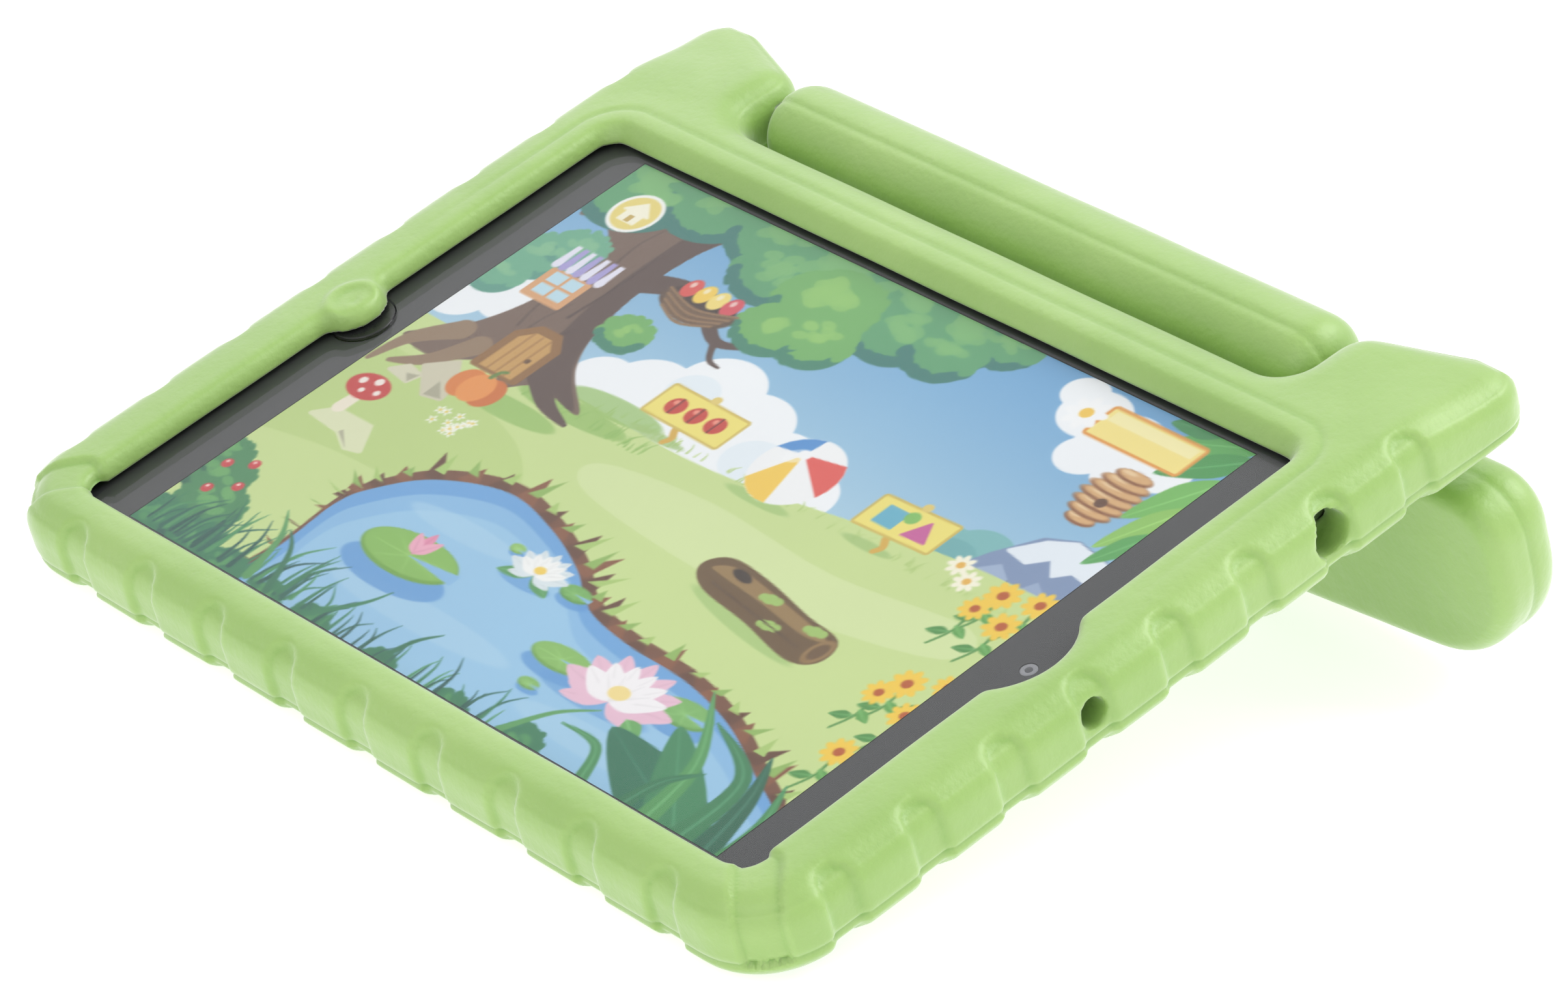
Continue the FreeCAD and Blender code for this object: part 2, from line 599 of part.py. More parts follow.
def handle_stand():
    """The foam handle: a flat grip with a hand opening, a neck and a round hinge bar."""
    body = new_body("handle_panel")
    grip, neck = "Sizes.grip_half_length", "Sizes.neck_half_length"
    bow, reach = value("Sizes.grip_bow_radius"), value("Sizes.grip_half_length")
    side_end = foot_level() + bow - math.sqrt(bow ** 2 - reach ** 2)
    sketch = new_sketch(body, "handle_outline", role="XZ_Plane", offset="-Sizes.handle_front_y")
    draw_outline(sketch, [
        ("-" + grip, str(side_end)), (grip, str(side_end)),
        (grip, GRIP_TOP), (neck, GRIP_TOP), (neck, "Sizes.neck_top"),
        ("-" + neck, "Sizes.neck_top"), ("-" + neck, GRIP_TOP),
        ("-" + grip, GRIP_TOP)], arcs={0: "Sizes.grip_bow_radius"})
    pad(body, sketch, "Sizes.handle_thick", "handle_pad", reverse=True)
    corners = ((grip, str(side_end), "Sizes.grip_foot_corner", "foot_corners"),
               (grip, GRIP_TOP, "Sizes.grip_top_corner", "grip_top_corners"),
               (neck, GRIP_TOP, "Sizes.neck_corner", "neck_corners"))
    for x, z, radius, name in corners:
        points = [(side * value(x), value(z)) for side in (-1, 1)]
        round_edges(body, upright_near(points, axis="y"), radius, name)

    opening = new_sketch(body, "hand_opening", role="XZ_Plane", offset="-Sizes.handle_front_y")
    draw_rectangle(opening, "0", "(Sizes.hand_top + Sizes.hand_bottom) / 2",
                   "2 * Sizes.hand_half_length", "Sizes.hand_top - Sizes.hand_bottom")
    pocket(body, opening, None, "hand_opening_pocket", through=True)
    points = corners_of(0, value("(Sizes.hand_top + Sizes.hand_bottom) / 2"),
                        value("2 * Sizes.hand_half_length"),
                        value("Sizes.hand_top - Sizes.hand_bottom"))
    round_edges(body, upright_near(points, axis="y"), "Sizes.hand_corner", "hand_corners")

    front = value("Sizes.handle_front_y")
    back = value("Sizes.handle_front_y + Sizes.handle_thick")
    reach = value("Sizes.hand_half_length") + 1
    hole = {"x": (-reach, reach),
            "z": (value("Sizes.hand_bottom") - 1, value("Sizes.hand_top") + 1)}

    def outer(level):
        return lambda edge: lying_at("y", level)(edge) and not lying_at("y", level, hole)(edge)
    round_edges(body, outer(front), "Sizes.handle_front_round", "front_rim")
    round_edges(body, outer(back), "Sizes.handle_back_round", "back_rim")
    round_edges(body, lambda edge: any(lying_at("y", level, hole)(edge) for level in (front, back)),
                "Sizes.hand_round", "hand_rims")

    bar = round_bar("hinge_bar", "-Sizes.bar_half_length", "Sizes.bar_half_length",
                    "Sizes.hinge_y", "Sizes.hinge_z", "Sizes.bar_radius")
    bar_end = value("Sizes.bar_half_length")
    round_edges(bar, lambda edge: any(lying_at("x", side * bar_end)(edge) for side in (-1, 1)),
                "Sizes.bar_end_round", "bar_ends")
    bore = round_bar("rod_bore", "-Sizes.bar_half_length - 1", "Sizes.bar_half_length + 1",
                     "Sizes.hinge_y", "Sizes.hinge_z", "Sizes.rod_radius")
    return part(cut("handle_stand", fuse("handle_blank", [body, bar]), bore))


def hinge_pieces():
    """The rod that is fast in the handle's bar, and the bush that it turns in at each ear."""
    part(round_bar("hinge_rod", "-Sizes.rod_half_length", "Sizes.rod_half_length",
                   "Sizes.hinge_y", "Sizes.hinge_z", "Sizes.rod_radius"))
    for name, low, high in (("left", "-Sizes.bush_end", "-Sizes.bush_start"),
                            ("right", "Sizes.bush_start", "Sizes.bush_end")):
        bush = round_bar("hinge_bush_" + name, low, high, "Sizes.hinge_y", "Sizes.hinge_z",
                         "Sizes.bush_radius")
        bore = new_sketch(bush, "bush_bore_" + name, role="YZ_Plane", offset="0")
        draw_circle(bore, "Sizes.hinge_y", "Sizes.hinge_z", "Sizes.rod_radius + Sizes.running_gap")
        pocket(bush, bore, None, "bush_bore_pocket_" + name, through=True)
        part(bush)


# ---------------------------------------------------------------- tablet shell and front

def rear_housing():
    """The aluminium tub: back and sides in one, with a seat for the glass and holes for ports."""
    body = plate("housing_shell", "0", "0", "Sizes.tablet_length", "Sizes.tablet_width", "0",
                 "Sizes.tablet_thick", corner="Sizes.tablet_corner")
    round_edges(body, lying_at("z", value("-Sizes.tablet_thick")), "Sizes.tablet_back_round",
                "housing_back_round")
    seat = plate("glass_seat_space", "0", "0", "Sizes.tablet_length - 2 * Sizes.housing_wall",
                 "Sizes.tablet_width - 2 * Sizes.housing_wall", "1", "1 + Sizes.glass_seat",
                 corner="Sizes.tablet_corner - Sizes.housing_wall")
    room = plate("housing_room", "0", "0", "Sizes.inner_length", "Sizes.inner_width", "1",
                 "1 + Sizes.tablet_thick - Sizes.floor_thick", corner="Sizes.tablet_corner - 3")
    side = "Sizes.tablet_length / 2 + 1"
    wall = "Sizes.inner_length / 2 - 1"
    gap = "2 * Sizes.button_gap"
    spaces = [
        seat, room,
        round_bar("jack_hole", wall, side, "Sizes.jack_y", "Sizes.side_hole_z",
                  "Sizes.jack_barrel_radius"),
        round_bar("mic_hole", wall, side, "0", "Sizes.side_hole_z", "Sizes.mic_hole_radius"),
        cross_plate("power_slot", wall, side, "Sizes.power_y", "Sizes.side_hole_z",
                    "Sizes.side_button_length + " + gap, "Sizes.side_button_height + " + gap),
        cross_plate("port_slot", "-(%s)" % side, "-(%s)" % wall, "0", "Sizes.port_z",
                    "Sizes.port_width", "Sizes.port_height", corner="1.2"),
        disc("rear_camera_hole", "Sizes.rear_camera_x", "Sizes.rear_camera_y",
             "Sizes.rear_camera_radius + Sizes.camera_ring_wall + 0.05",
             "-Sizes.tablet_thick + 2", "3"),
    ]
    for name in ("volume_up", "volume_down"):
        spaces.append(plate(
            name + "_slot", "Sizes.%s_x" % name,
            "-(Sizes.tablet_width + Sizes.inner_width) / 4",
            "Sizes.side_button_length + " + gap,
            "(Sizes.tablet_width - Sizes.inner_width) / 2 + 2",
            "Sizes.side_hole_z + Sizes.side_button_height / 2 + Sizes.button_gap",
            "Sizes.side_button_height + " + gap))
    spaces += speaker_grille()
    return part(cut("rear_housing", body, fuse("housing_spaces", spaces)))


def speaker_grille():
    """Two rows of small round holes in the left edge, one row before each speaker."""
    holes = []
    for side in (-1, 1):
        for number in range(8):
            offset = ("%d * (Sizes.speaker_slot_y - Sizes.speaker_hole_first"
                      " + %d * Sizes.speaker_hole_pitch)" % (side, number))
            holes.append(round_bar(
                "speaker_hole_%s_%d" % ("upper" if side > 0 else "lower", number),
                "-Sizes.tablet_length / 2 - 1", "-Sizes.inner_length / 2 + 1", offset,
                "Sizes.side_hole_z", "Sizes.speaker_hole_radius"))
    return holes


def front_glass():
    """The cover glass, with the home button's hole."""
    width = "Sizes.tablet_%s - 2 * Sizes.housing_wall - 2 * Sizes.glass_gap"
    body = plate("front_glass", "0", "0", width % "length", width % "width", "0",
                 "Sizes.glass_thick", corner="Sizes.tablet_corner - Sizes.housing_wall")
    hole = new_sketch(body, "home_hole")
    draw_circle(hole, "Sizes.home_x", "0", "Sizes.home_hole_radius")
    pocket(body, hole, None, "home_hole_pocket", through=True)
    return part(body)


def frame_plate(label, outer_x, outer_y, inner_x, inner_y, top, thick, corner):
    """A flat rectangular frame with rounded outer corners."""
    body = plate(label, "0", "0", outer_x, outer_y, top, thick, corner=corner)
    opening = new_sketch(body, label + "_opening", offset=top)
    draw_rectangle(opening, "0", "0", inner_x, inner_y)
    pocket(body, opening, None, label + "_opening_pocket", through=True)
    return body


def under_glass():
    """The adhesive that holds the glass on its seat, and the dark border printed on the glass."""
    part(frame_plate("glass_adhesive", "Sizes.inner_length + 2.6", "Sizes.inner_width + 2.6",
                     "Sizes.inner_length + 0.4", "Sizes.inner_width + 0.4",
                     "-Sizes.glass_thick", "Sizes.glass_seat - Sizes.glass_thick",
                     corner="Sizes.tablet_corner - Sizes.housing_wall"))
    border = frame_plate("glass_border", "Sizes.inner_length", "Sizes.inner_width",
                         "Sizes.picture_length", "Sizes.picture_width", "-Sizes.glass_thick",
                         "Sizes.border_thick", corner="Sizes.tablet_corner - 3")
    holes = new_sketch(border, "border_holes")
    draw_circle(holes, "Sizes.home_x", "0", "Sizes.home_hole_radius", prefix="home")
    draw_circle(holes, "Sizes.camera_x", "0", "Sizes.camera_hole_radius", prefix="camera")
    pocket(border, holes, None, "border_holes_pocket", through=True)
    part(border)


# ---------------------------------------------------------------- buttons

def home_button():
    """A round cap that fills the glass's hole, and the stem below it."""
    body = disc("home_button", "Sizes.home_x", "0", "Sizes.home_radius", "Sizes.home_top",
                "Sizes.home_thick")
    stem = new_sketch(body, "home_stem", offset="Sizes.home_top - Sizes.home_thick")
    draw_circle(stem, "Sizes.home_x", "0", "Sizes.home_stem_radius")
    pad(body, stem, "Sizes.home_stem_length", "home_stem_pad", reverse=True)
    round_edges(body, lying_at("z", value("Sizes.home_top")), "Sizes.home_rim", "home_rim")
    return part(body)


def side_button(label, along_x, centre):
    """A button in the tablet's edge: a cap that stands proud, and a flange that keeps it in."""
    proud = "Sizes.side_button_proud"
    cap, height = "Sizes.side_button_length", "Sizes.side_button_height"
    if along_x:
        edge = "Sizes.tablet_length / 2"
        body = cross_plate(label, "Sizes.inner_length / 2 - 0.5", edge + " + " + proud, centre,
                           "Sizes.side_hole_z", cap, height)
        flange = new_sketch(body, label + "_flange", role="YZ_Plane",
                            offset="Sizes.inner_length / 2 - 0.5")
        draw_rectangle(flange, centre, "Sizes.side_hole_z", cap + " + 1.6", height)
        pad(body, flange, "Sizes.button_flange", label + "_flange_pad", reverse=True)
        level = value(edge + " + " + proud)
        round_edges(body, lying_at("x", level), "Sizes.button_rim", label + "_rim")
    else:
        depth = "(Sizes.tablet_width - Sizes.inner_width) / 2 + 0.5 + " + proud
        middle = "-Sizes.inner_width / 2 + 0.5 - (%s) / 2" % depth
        top = "Sizes.side_hole_z + Sizes.side_button_height / 2"
        body = plate(label, centre, middle, cap, depth, top, height)
        flange = new_sketch(body, label + "_flange", offset=top)
        draw_rectangle(flange, centre,
                       "-Sizes.inner_width / 2 + 0.5 + Sizes.button_flange / 2",
                       cap + " + 1.6", "Sizes.button_flange")
        pad(body, flange, height, label + "_flange_pad", reverse=True)
        level = value("-Sizes.tablet_width / 2 - " + proud)
        round_edges(body, lying_at("y", level), "Sizes.button_rim", label + "_rim")
    return part(body)


# ---------------------------------------------------------------- inside the tablet

def flat_pieces():
    """The flat rectangular pieces, each from its own cells of the sheet."""
    for label in FLAT_PIECES:
        cells = {key: "Sizes.%s_%s" % (label, key)
                 for key in ("x", "y", "dx", "dy", "top", "thick", "corner")}
        part(plate(label, **cells))


def logic_board():
    """The L-shaped circuit board along the top edge and down the camera side."""
    body = new_body("logic_board")
    sketch = new_sketch(body, "board_outline", offset="Sizes.board_top - Sizes.board_thick")
    draw_outline(sketch, [(str(x), str(y)) for x, y in BOARD_OUTLINE])
    pad(body, sketch, "Sizes.board_thick", "board_pad")
    holes = new_sketch(body, "board_holes")
    for number, (x, y) in enumerate(SCREW_PLACES):
        draw_circle(holes, str(x), str(y), "Sizes.screw_hole_radius", prefix="hole%d" % number)
    pocket(body, holes, None, "board_holes_pocket", through=True)
    return part(body)


def board_screws():
    """Six pan-head screws that hold the board, as one group."""
    screws = []
    for number, (x, y) in enumerate(SCREW_PLACES):
        screw = new_body("screw_%d" % number)
        head = new_sketch(screw, "screw_head_%d" % number, offset="Sizes.board_top")
        draw_circle(head, str(x), str(y), "Sizes.screw_head_radius")
        pad(screw, head, "Sizes.screw_head_thick", "screw_head_pad_%d" % number)
        shank = new_sketch(screw, "screw_shank_%d" % number, offset="Sizes.board_top")
        draw_circle(shank, str(x), str(y), "Sizes.screw_shank_radius")
        pad(screw, shank, "Sizes.screw_shank_length", "screw_shank_pad_%d" % number,
            reverse=True)
        screws.append(screw)
    group = doc.addObject("Part::Compound", "board_screws")
    group.Links = screws
    group.Label = "board_screws"
    doc.recompute()
    return part(group)


def shield_cans():
    """Sheet-metal cans over the board's chips, as one group."""
    cans = []
    for number, place in enumerate(SHIELD_CANS):
        x, y, dx, dy = (str(size) for size in place)
        cans.append(plate("can_%d" % number, x, y, dx, dy, "Sizes.can_top", "Sizes.can_thick",
                          corner="Sizes.can_corner"))
    group = doc.addObject("Part::Compound", "board_shield_cans")
    group.Links = cans
    group.Label = "board_shield_cans"
    doc.recompute()
    return part(group)


def headphone_jack():
    """The jack's block with the barrel that reaches through the housing, and its 3.5 mm bore."""
    edge = "Sizes.tablet_length / 2"
    body = cross_plate("headphone_jack", edge + " - Sizes.jack_depth - 3",
                       "Sizes.inner_length / 2 - 0.1", "Sizes.jack_y", "Sizes.side_hole_z",
                       "Sizes.jack_block_width", "Sizes.jack_block_height", corner="0.8")
    barrel = new_sketch(body, "jack_barrel", role="YZ_Plane",
                        offset="Sizes.inner_length / 2 - 1")
    draw_circle(barrel, "Sizes.jack_y", "Sizes.side_hole_z", "Sizes.jack_barrel_radius - 0.5")
    pad(body, barrel, "%s - Sizes.inner_length / 2 + 1" % edge, "jack_barrel_pad")
    bore = new_sketch(body, "jack_bore", role="YZ_Plane", offset=edge)
    draw_circle(bore, "Sizes.jack_y", "Sizes.side_hole_z", "Sizes.jack_radius")
    pocket(body, bore, "Sizes.jack_depth", "jack_bore_pocket")
    return part(body)


def charging_port():
    """The connector's metal shell, open to the left edge."""
    outer = "-Sizes.inner_length / 2 + 0.1"
    body = cross_plate("charging_port", outer, outer + " + Sizes.port_shell_length", "0",
                       "Sizes.port_z", "Sizes.port_shell_width", "Sizes.port_shell_height",
                       corner="1")
    mouth = new_sketch(body, "port_mouth", role="YZ_Plane", offset="-Sizes.inner_length / 2")
    draw_rectangle(mouth, "0", "Sizes.port_z", "Sizes.port_width - 0.4", "Sizes.port_height - 0.4")
    pocket(body, mouth, "Sizes.port_mouth_depth", "port_mouth_pocket", reverse=True)
    return part(body)


def cameras():
    """The front camera, the rear camera and the ring and window over the rear one's lens."""
    side, top = "Sizes.front_camera_size", "Sizes.front_camera_top"
    front = plate("front_camera", "Sizes.camera_x", "0", side, side, top,
                  "Sizes.front_camera_thick", corner="0.8")
    lens = new_sketch(front, "front_lens", offset=top)
    draw_circle(lens, "Sizes.camera_x", "0", "Sizes.front_lens_radius")
    pad(front, lens, "Sizes.front_lens_length", "front_lens_pad")
    part(front)
    x, y = "Sizes.rear_camera_x", "Sizes.rear_camera_y"
    side, top = "Sizes.rear_camera_size", "Sizes.rear_camera_top"
    rear = plate("rear_camera", x, y, side, side, top, "Sizes.rear_camera_thick", corner="0.8")
    barrel = new_sketch(rear, "rear_barrel", offset=top + " - Sizes.rear_camera_thick")
    draw_circle(barrel, x, y, "Sizes.rear_barrel_radius")
    pad(rear, barrel, "Sizes.rear_barrel_length", "rear_barrel_pad", reverse=True)
    part(rear)
    cover = "-Sizes.tablet_thick + Sizes.camera_ring_thick"
    ring = disc("rear_camera_ring", x, y, "Sizes.rear_camera_radius + Sizes.camera_ring_wall",
                cover, "Sizes.camera_ring_thick")
    hole = new_sketch(ring, "ring_hole")
    draw_circle(hole, x, y, "Sizes.rear_camera_radius")
    pocket(ring, hole, None, "ring_hole_pocket", through=True)
    part(ring)
    part(disc("rear_camera_window", x, y, "Sizes.rear_camera_radius - 0.05", cover,
              "Sizes.camera_window_thick"))


# ---------------------------------------------------------------- stance, tests and files

def stand_up():
    """Tilt every part about X, and put the whole footprint's centre at the origin."""
    turn = Rotation(Vector(1, 0, 0), value("Sizes.tilt"))
    whole = Part.makeCompound([item.Shape for item in PARTS])
    whole.Placement = Placement(Vector(), turn)
    box = whole.optimalBoundingBox(False)
    base = Vector(-(box.XMin + box.XMax) / 2, -(box.YMin + box.YMax) / 2, -box.ZMin)
    for item in PARTS:
        item.Placement = Placement(base, turn)
    doc.recompute()
    return base, box


def check_document():
    """Stop if any object failed, or a part is empty or not valid."""
    for item in doc.Objects:
        if "Invalid" in item.State or "Error" in item.State:
            raise RuntimeError("%s did not recompute: %s" % (item.Label, item.State))
    for item in PARTS:
        if item.Shape.isNull() or not item.Shape.isValid():
            raise RuntimeError("%s has no valid shape" % item.Label)


def write_parts():
    os.makedirs("parts", exist_ok=True)
    for item in PARTS:
        item.Shape.exportStep(os.path.join("parts", item.Label + ".step"))


fill_sheet()
foam_case()
handle_stand()
hinge_pieces()
rear_housing()
front_glass()
under_glass()
home_button()
side_button("power_button", True, "Sizes.power_y")
side_button("volume_up_button", False, "Sizes.volume_up_x")
side_button("volume_down_button", False, "Sizes.volume_down_x")
flat_pieces()
logic_board()
board_screws()
shield_cans()
headphone_jack()
charging_port()
cameras()
origin_shift, footprint = stand_up()
check_document()
write_parts()
print("parts", len(PARTS), "origin shift", origin_shift, "footprint", footprint)
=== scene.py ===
"""Looks of a tablet in a soft foam children's case, built round its CAD frame.

The soft foam pieces are modelled in the tablet's own frame, in millimetres: the origin is the
middle of the display on the glass, X along the long side towards the front camera, Y up the
picture and Z out of the glass. TABLET carries that frame into the row frame, in metres.
"""

import json
import math

import bpy
import numpy as np
from mathutils import Matrix, Vector


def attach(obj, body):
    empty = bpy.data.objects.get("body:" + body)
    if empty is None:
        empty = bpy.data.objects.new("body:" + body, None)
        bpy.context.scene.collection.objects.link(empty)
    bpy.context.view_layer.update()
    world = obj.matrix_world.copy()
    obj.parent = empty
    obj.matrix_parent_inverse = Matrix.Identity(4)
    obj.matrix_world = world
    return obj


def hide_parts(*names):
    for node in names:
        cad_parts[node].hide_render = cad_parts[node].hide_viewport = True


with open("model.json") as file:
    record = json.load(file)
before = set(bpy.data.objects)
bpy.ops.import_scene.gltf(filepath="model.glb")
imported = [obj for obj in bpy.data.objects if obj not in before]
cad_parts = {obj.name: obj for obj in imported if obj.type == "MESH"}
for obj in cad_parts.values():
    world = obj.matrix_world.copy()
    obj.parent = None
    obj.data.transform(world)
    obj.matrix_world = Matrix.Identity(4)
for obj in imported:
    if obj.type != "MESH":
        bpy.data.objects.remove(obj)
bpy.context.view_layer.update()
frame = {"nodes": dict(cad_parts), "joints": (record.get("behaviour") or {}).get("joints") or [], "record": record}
NODES = frame["nodes"]
MM = 0.001


# ------------------------------ the tablet's own frame

def tablet_frame():
    """The matrix from the tablet's frame, in millimetres, to the row frame, in metres."""
    joint = next(j for j in frame["joints"] if j["name"] == "home_button_press")
    out = -Vector(joint["axis"]).normalized()
    right = Vector((1.0, 0.0, 0.0))
    up = out.cross(right).normalized()
    corners = [v.co for v in NODES["front_glass"].data.vertices]

    def middle(axis):
        along = [c.dot(axis) for c in corners]
        return (min(along) + max(along)) / 2

    top = max(c.dot(out) for c in corners)
    base = right * middle(right) + up * middle(up) + out * top
    turn = Matrix((right, up, out)).transposed().to_4x4()
    return Matrix.Translation(base) @ turn @ Matrix.Scale(MM, 4)


TABLET = tablet_frame()


def new_object(name, data):
    """An object of that data, linked to the scene."""
    made = bpy.data.objects.new(name, data)
    bpy.context.scene.collection.objects.link(made)
    return made


def new_mesh(name, points, faces):
    """A mesh of those points and faces."""
    made = bpy.data.meshes.new(name)
    made.from_pydata(points, [], faces)
    return made


def in_tablet(points):
    """Row frame points, in metres, as an array of tablet frame points in millimetres."""
    inverse = np.array(TABLET.inverted())
    return points @ inverse[:3, :3].T + inverse[:3, 3]


def in_row(points):
    """Tablet frame points, in millimetres, as row frame points in metres."""
    matrix = np.array(TABLET)
    return points @ matrix[:3, :3].T + matrix[:3, 3]


# ------------------------------ material helpers

def linear(screen):
    """Screen values, 0 to 1, as linear light."""
    return np.where(screen <= 0.04045, screen / 12.92, ((screen + 0.055) / 1.055) ** 2.4)


def srgb(*screen):
    """A screen colour, 0 to 255, as the linear colour that a shader takes."""
    return (*[float(c) for c in linear(np.array(screen) / 255.0)], 1.0)


class Shader:
    """A material's node tree with short calls for its nodes and links."""

    def __init__(self, name):
        self.material = bpy.data.materials.new(name)
        self.material.use_nodes = True
        self.tree = self.material.node_tree
        self.surface = self.tree.nodes["Principled BSDF"]
        self.output = self.tree.nodes["Material Output"]

    def node(self, kind, inputs=None, **settings):
        made = self.tree.nodes.new(kind)
        for key, value in settings.items():
            setattr(made, key, value)
        for key, value in (inputs or {}).items():
            made.inputs[key].default_value = value
        return made

    def link(self, source, target):
        self.tree.links.new(source, target)

    def set(self, **values):
        for key, value in values.items():
            self.surface.inputs[key.replace("_", " ")].default_value = value

    def place(self):
        return self.node("ShaderNodeTexCoord").outputs["Object"]

    def noise(self, scale, detail=3.0, roughness=0.5, stretch=None):
        """A noise texture of that scale per metre, over object coordinates."""
        texture = self.node("ShaderNodeTexNoise",
                            {"Scale": scale, "Detail": detail, "Roughness": roughness})
        if stretch:
            mapping = self.node("ShaderNodeMapping", {"Scale": stretch})
            self.link(self.place(), mapping.inputs["Vector"])
            self.link(mapping.outputs["Vector"], texture.inputs["Vector"])
        else:
            self.link(self.place(), texture.inputs["Vector"])
        return texture.outputs["Fac"]

    def ramp(self, factor, *stops):
        """A colour ramp with (place, colour) stops."""
        made = self.node("ShaderNodeValToRGB")
        elements = made.color_ramp.elements
        while len(elements) < len(stops):
            elements.new(0.5)
        for element, (place, colour) in zip(elements, stops):
            element.position = place
            element.color = colour
        self.link(factor, made.inputs["Fac"])
        return made.outputs["Color"]

    def spread(self, factor, low, high):
        """A value from low to high as the factor goes from 0.3 to 0.7."""
        made = self.node("ShaderNodeMapRange", {"From Min": 0.3, "From Max": 0.7,
                                                "To Min": low, "To Max": high})
        self.link(factor, made.inputs["Value"])
        return made.outputs["Result"]

    def multiply(self, first, second):
        """The product of two colours."""
        made = self.node("ShaderNodeMix", {0: 1.0}, data_type="RGBA", blend_type="MULTIPLY")
        colours = [i for i in made.inputs if i.type == "RGBA"]
        self.link(first, colours[0])
        self.link(second, colours[1])
        return next(o for o in made.outputs if o.type == "RGBA")

    def bump(self, height, strength, distance, under=None):
        made = self.node("ShaderNodeBump", {"Strength": strength, "Distance": distance})
        self.link(height, made.inputs["Height"])
        if under is not None:
            self.link(under, made.inputs["Normal"])
        return made.outputs["Normal"]


FOAM_DEEP = srgb(145, 181, 94)
FOAM_MID = srgb(152, 187, 101)
FOAM_PALE = srgb(160, 192, 110)


def foam_material(name, seed):
    """Moulded EVA foam: an even skin with a fine pebbled grain and faint mottling."""
    s = Shader(name)
    mottle = s.noise(26.0 + seed, 4.0)
    colour = s.ramp(mottle, (0.25, FOAM_DEEP), (0.5, FOAM_MID), (0.78, FOAM_PALE))
    bend = s.node("ShaderNodeNewGeometry").outputs["Pointiness"]
    # painted light: the colour pales towards white on convex edges as a painted highlight, and darkens in creases
    # and hollows as painted shade
    painted_edge_light_and_crease_shade = s.ramp(bend, (0.45, (0.72, 0.86, 0.6, 1)), (0.495, (0.93, 0.95, 0.9, 1)),
                  (0.54, (1, 1, 1, 1)))
    s.link(s.multiply(colour, painted_edge_light_and_crease_shade), s.surface.inputs["Base Color"])
    s.link(s.spread(s.noise(90.0 + seed, 3.0), 0.42, 0.56), s.surface.inputs["Roughness"])
    s.set(Specular_IOR_Level=0.5, Sheen_Weight=0.6, Sheen_Roughness=0.35)
    s.set(Coat_Weight=0.7, Coat_Roughness=0.45)
    s.set(Subsurface_Weight=0.12, Subsurface_Radius=(0.0016, 0.0026, 0.0008))
    s.set(Subsurface_Scale=1.0)
    pebbles = s.node("ShaderNodeTexVoronoi", {"Scale": 700.0}, feature="SMOOTH_F1")
    s.link(s.place(), pebbles.inputs["Vector"])
    swell = s.bump(s.noise(190.0, 3.0), 0.40, 0.0008)
    wrinkles = s.bump(s.noise(620.0, 4.0, 0.6), 0.45, 0.0004, swell)
    grain = s.bump(pebbles.outputs["Distance"], 0.25, 0.0003, wrinkles)
    s.link(grain, s.surface.inputs["Normal"])
    return s.material


def plain_material(name, colour, shade, rough, grain, bump, metallic=0.0, stretch=None):
    """A moulded, printed or machined surface: a little colour and gloss variation and grain."""
    s = Shader(name)
    noise = s.noise(grain, 3.0, stretch=stretch)
    light = srgb(*colour)
    darker = tuple(c * shade for c in light[:3]) + (1.0,)
    s.link(s.ramp(noise, (0.3, darker), (0.7, light)), s.surface.inputs["Base Color"])
    s.link(s.spread(noise, *rough), s.surface.inputs["Roughness"])
    s.set(Metallic=metallic)
    if bump:
        s.link(s.bump(noise, bump, 0.0001), s.surface.inputs["Normal"])
    return s.material


def glass_material(name, tint, strength):
    """Clear glass: what is behind it shows, under a reflection that grows as it is seen flatter."""
    s = Shader(name)
    s.tree.nodes.remove(s.surface)
    clear = s.node("ShaderNodeBsdfTransparent", {"Color": tint})
    gloss = s.node("ShaderNodeBsdfGlossy")
    s.link(s.spread(s.noise(14.0, 2.0), 0.04, 0.07), gloss.inputs["Roughness"])
    slant = s.node("ShaderNodeLayerWeight", {"Blend": 0.5})
    steep = s.node("ShaderNodeMath", {1: 5.0}, operation="POWER")
    s.link(slant.outputs["Facing"], steep.inputs[0])
    share = s.node("ShaderNodeMapRange", {"To Min": strength, "To Max": 1.0})
    s.link(steep.outputs["Value"], share.inputs["Value"])
    mix = s.node("ShaderNodeMixShader")
    s.link(share.outputs["Result"], mix.inputs["Fac"])
    s.link(clear.outputs["BSDF"], mix.inputs[1])
    s.link(gloss.outputs["BSDF"], mix.inputs[2])
    s.link(mix.outputs["Shader"], s.output.inputs["Surface"])
    return s.material


def board_material(name):
    """A green circuit board, with fine copper tracks under the lacquer."""
    s = Shader(name)
    tracks = s.node("ShaderNodeTexBrick", {"Scale": 420.0, "Color1": srgb(22, 92, 52),
                    "Color2": srgb(28, 106, 60), "Mortar": srgb(70, 140, 84)})
    s.link(s.place(), tracks.inputs["Vector"])
    s.link(tracks.outputs["Color"], s.surface.inputs["Base Color"])
    s.link(s.spread(s.noise(300.0), 0.30, 0.42), s.surface.inputs["Roughness"])
    return s.material


# ------------------------------ soft foam shapes

# places, levels and sizes in millimetres, in the tablet's frame
FOAM_VOXEL = 0.8
CASE_HALF = (129.2, 90.1)
HOME_PAD = (-109.3, -0.7)
CORNER_GROOVE = (109.7, -70.6)
GRIP_MIDDLE = 112.3
BAR_SEAM = 104.3
WINDOW_HALF = (111.0, 76.7)
WINDOW_CORNER = 5.5
CAMERA_NOTCH = (101.2, 16.1)
HOME_TAB = (-113.6, 8.6)
PARTING_LEVEL = -9.2
CASE_BACK = -14.0
CASE_FRONT = 5.2
BAR_END_REACH = 1.8


def ease(values, start, end):
    """0 before start, 1 after end, and smooth between."""
    t = np.clip((values - start) / (end - start), 0.0, 1.0)
    return t * t * (3.0 - 2.0 * t)


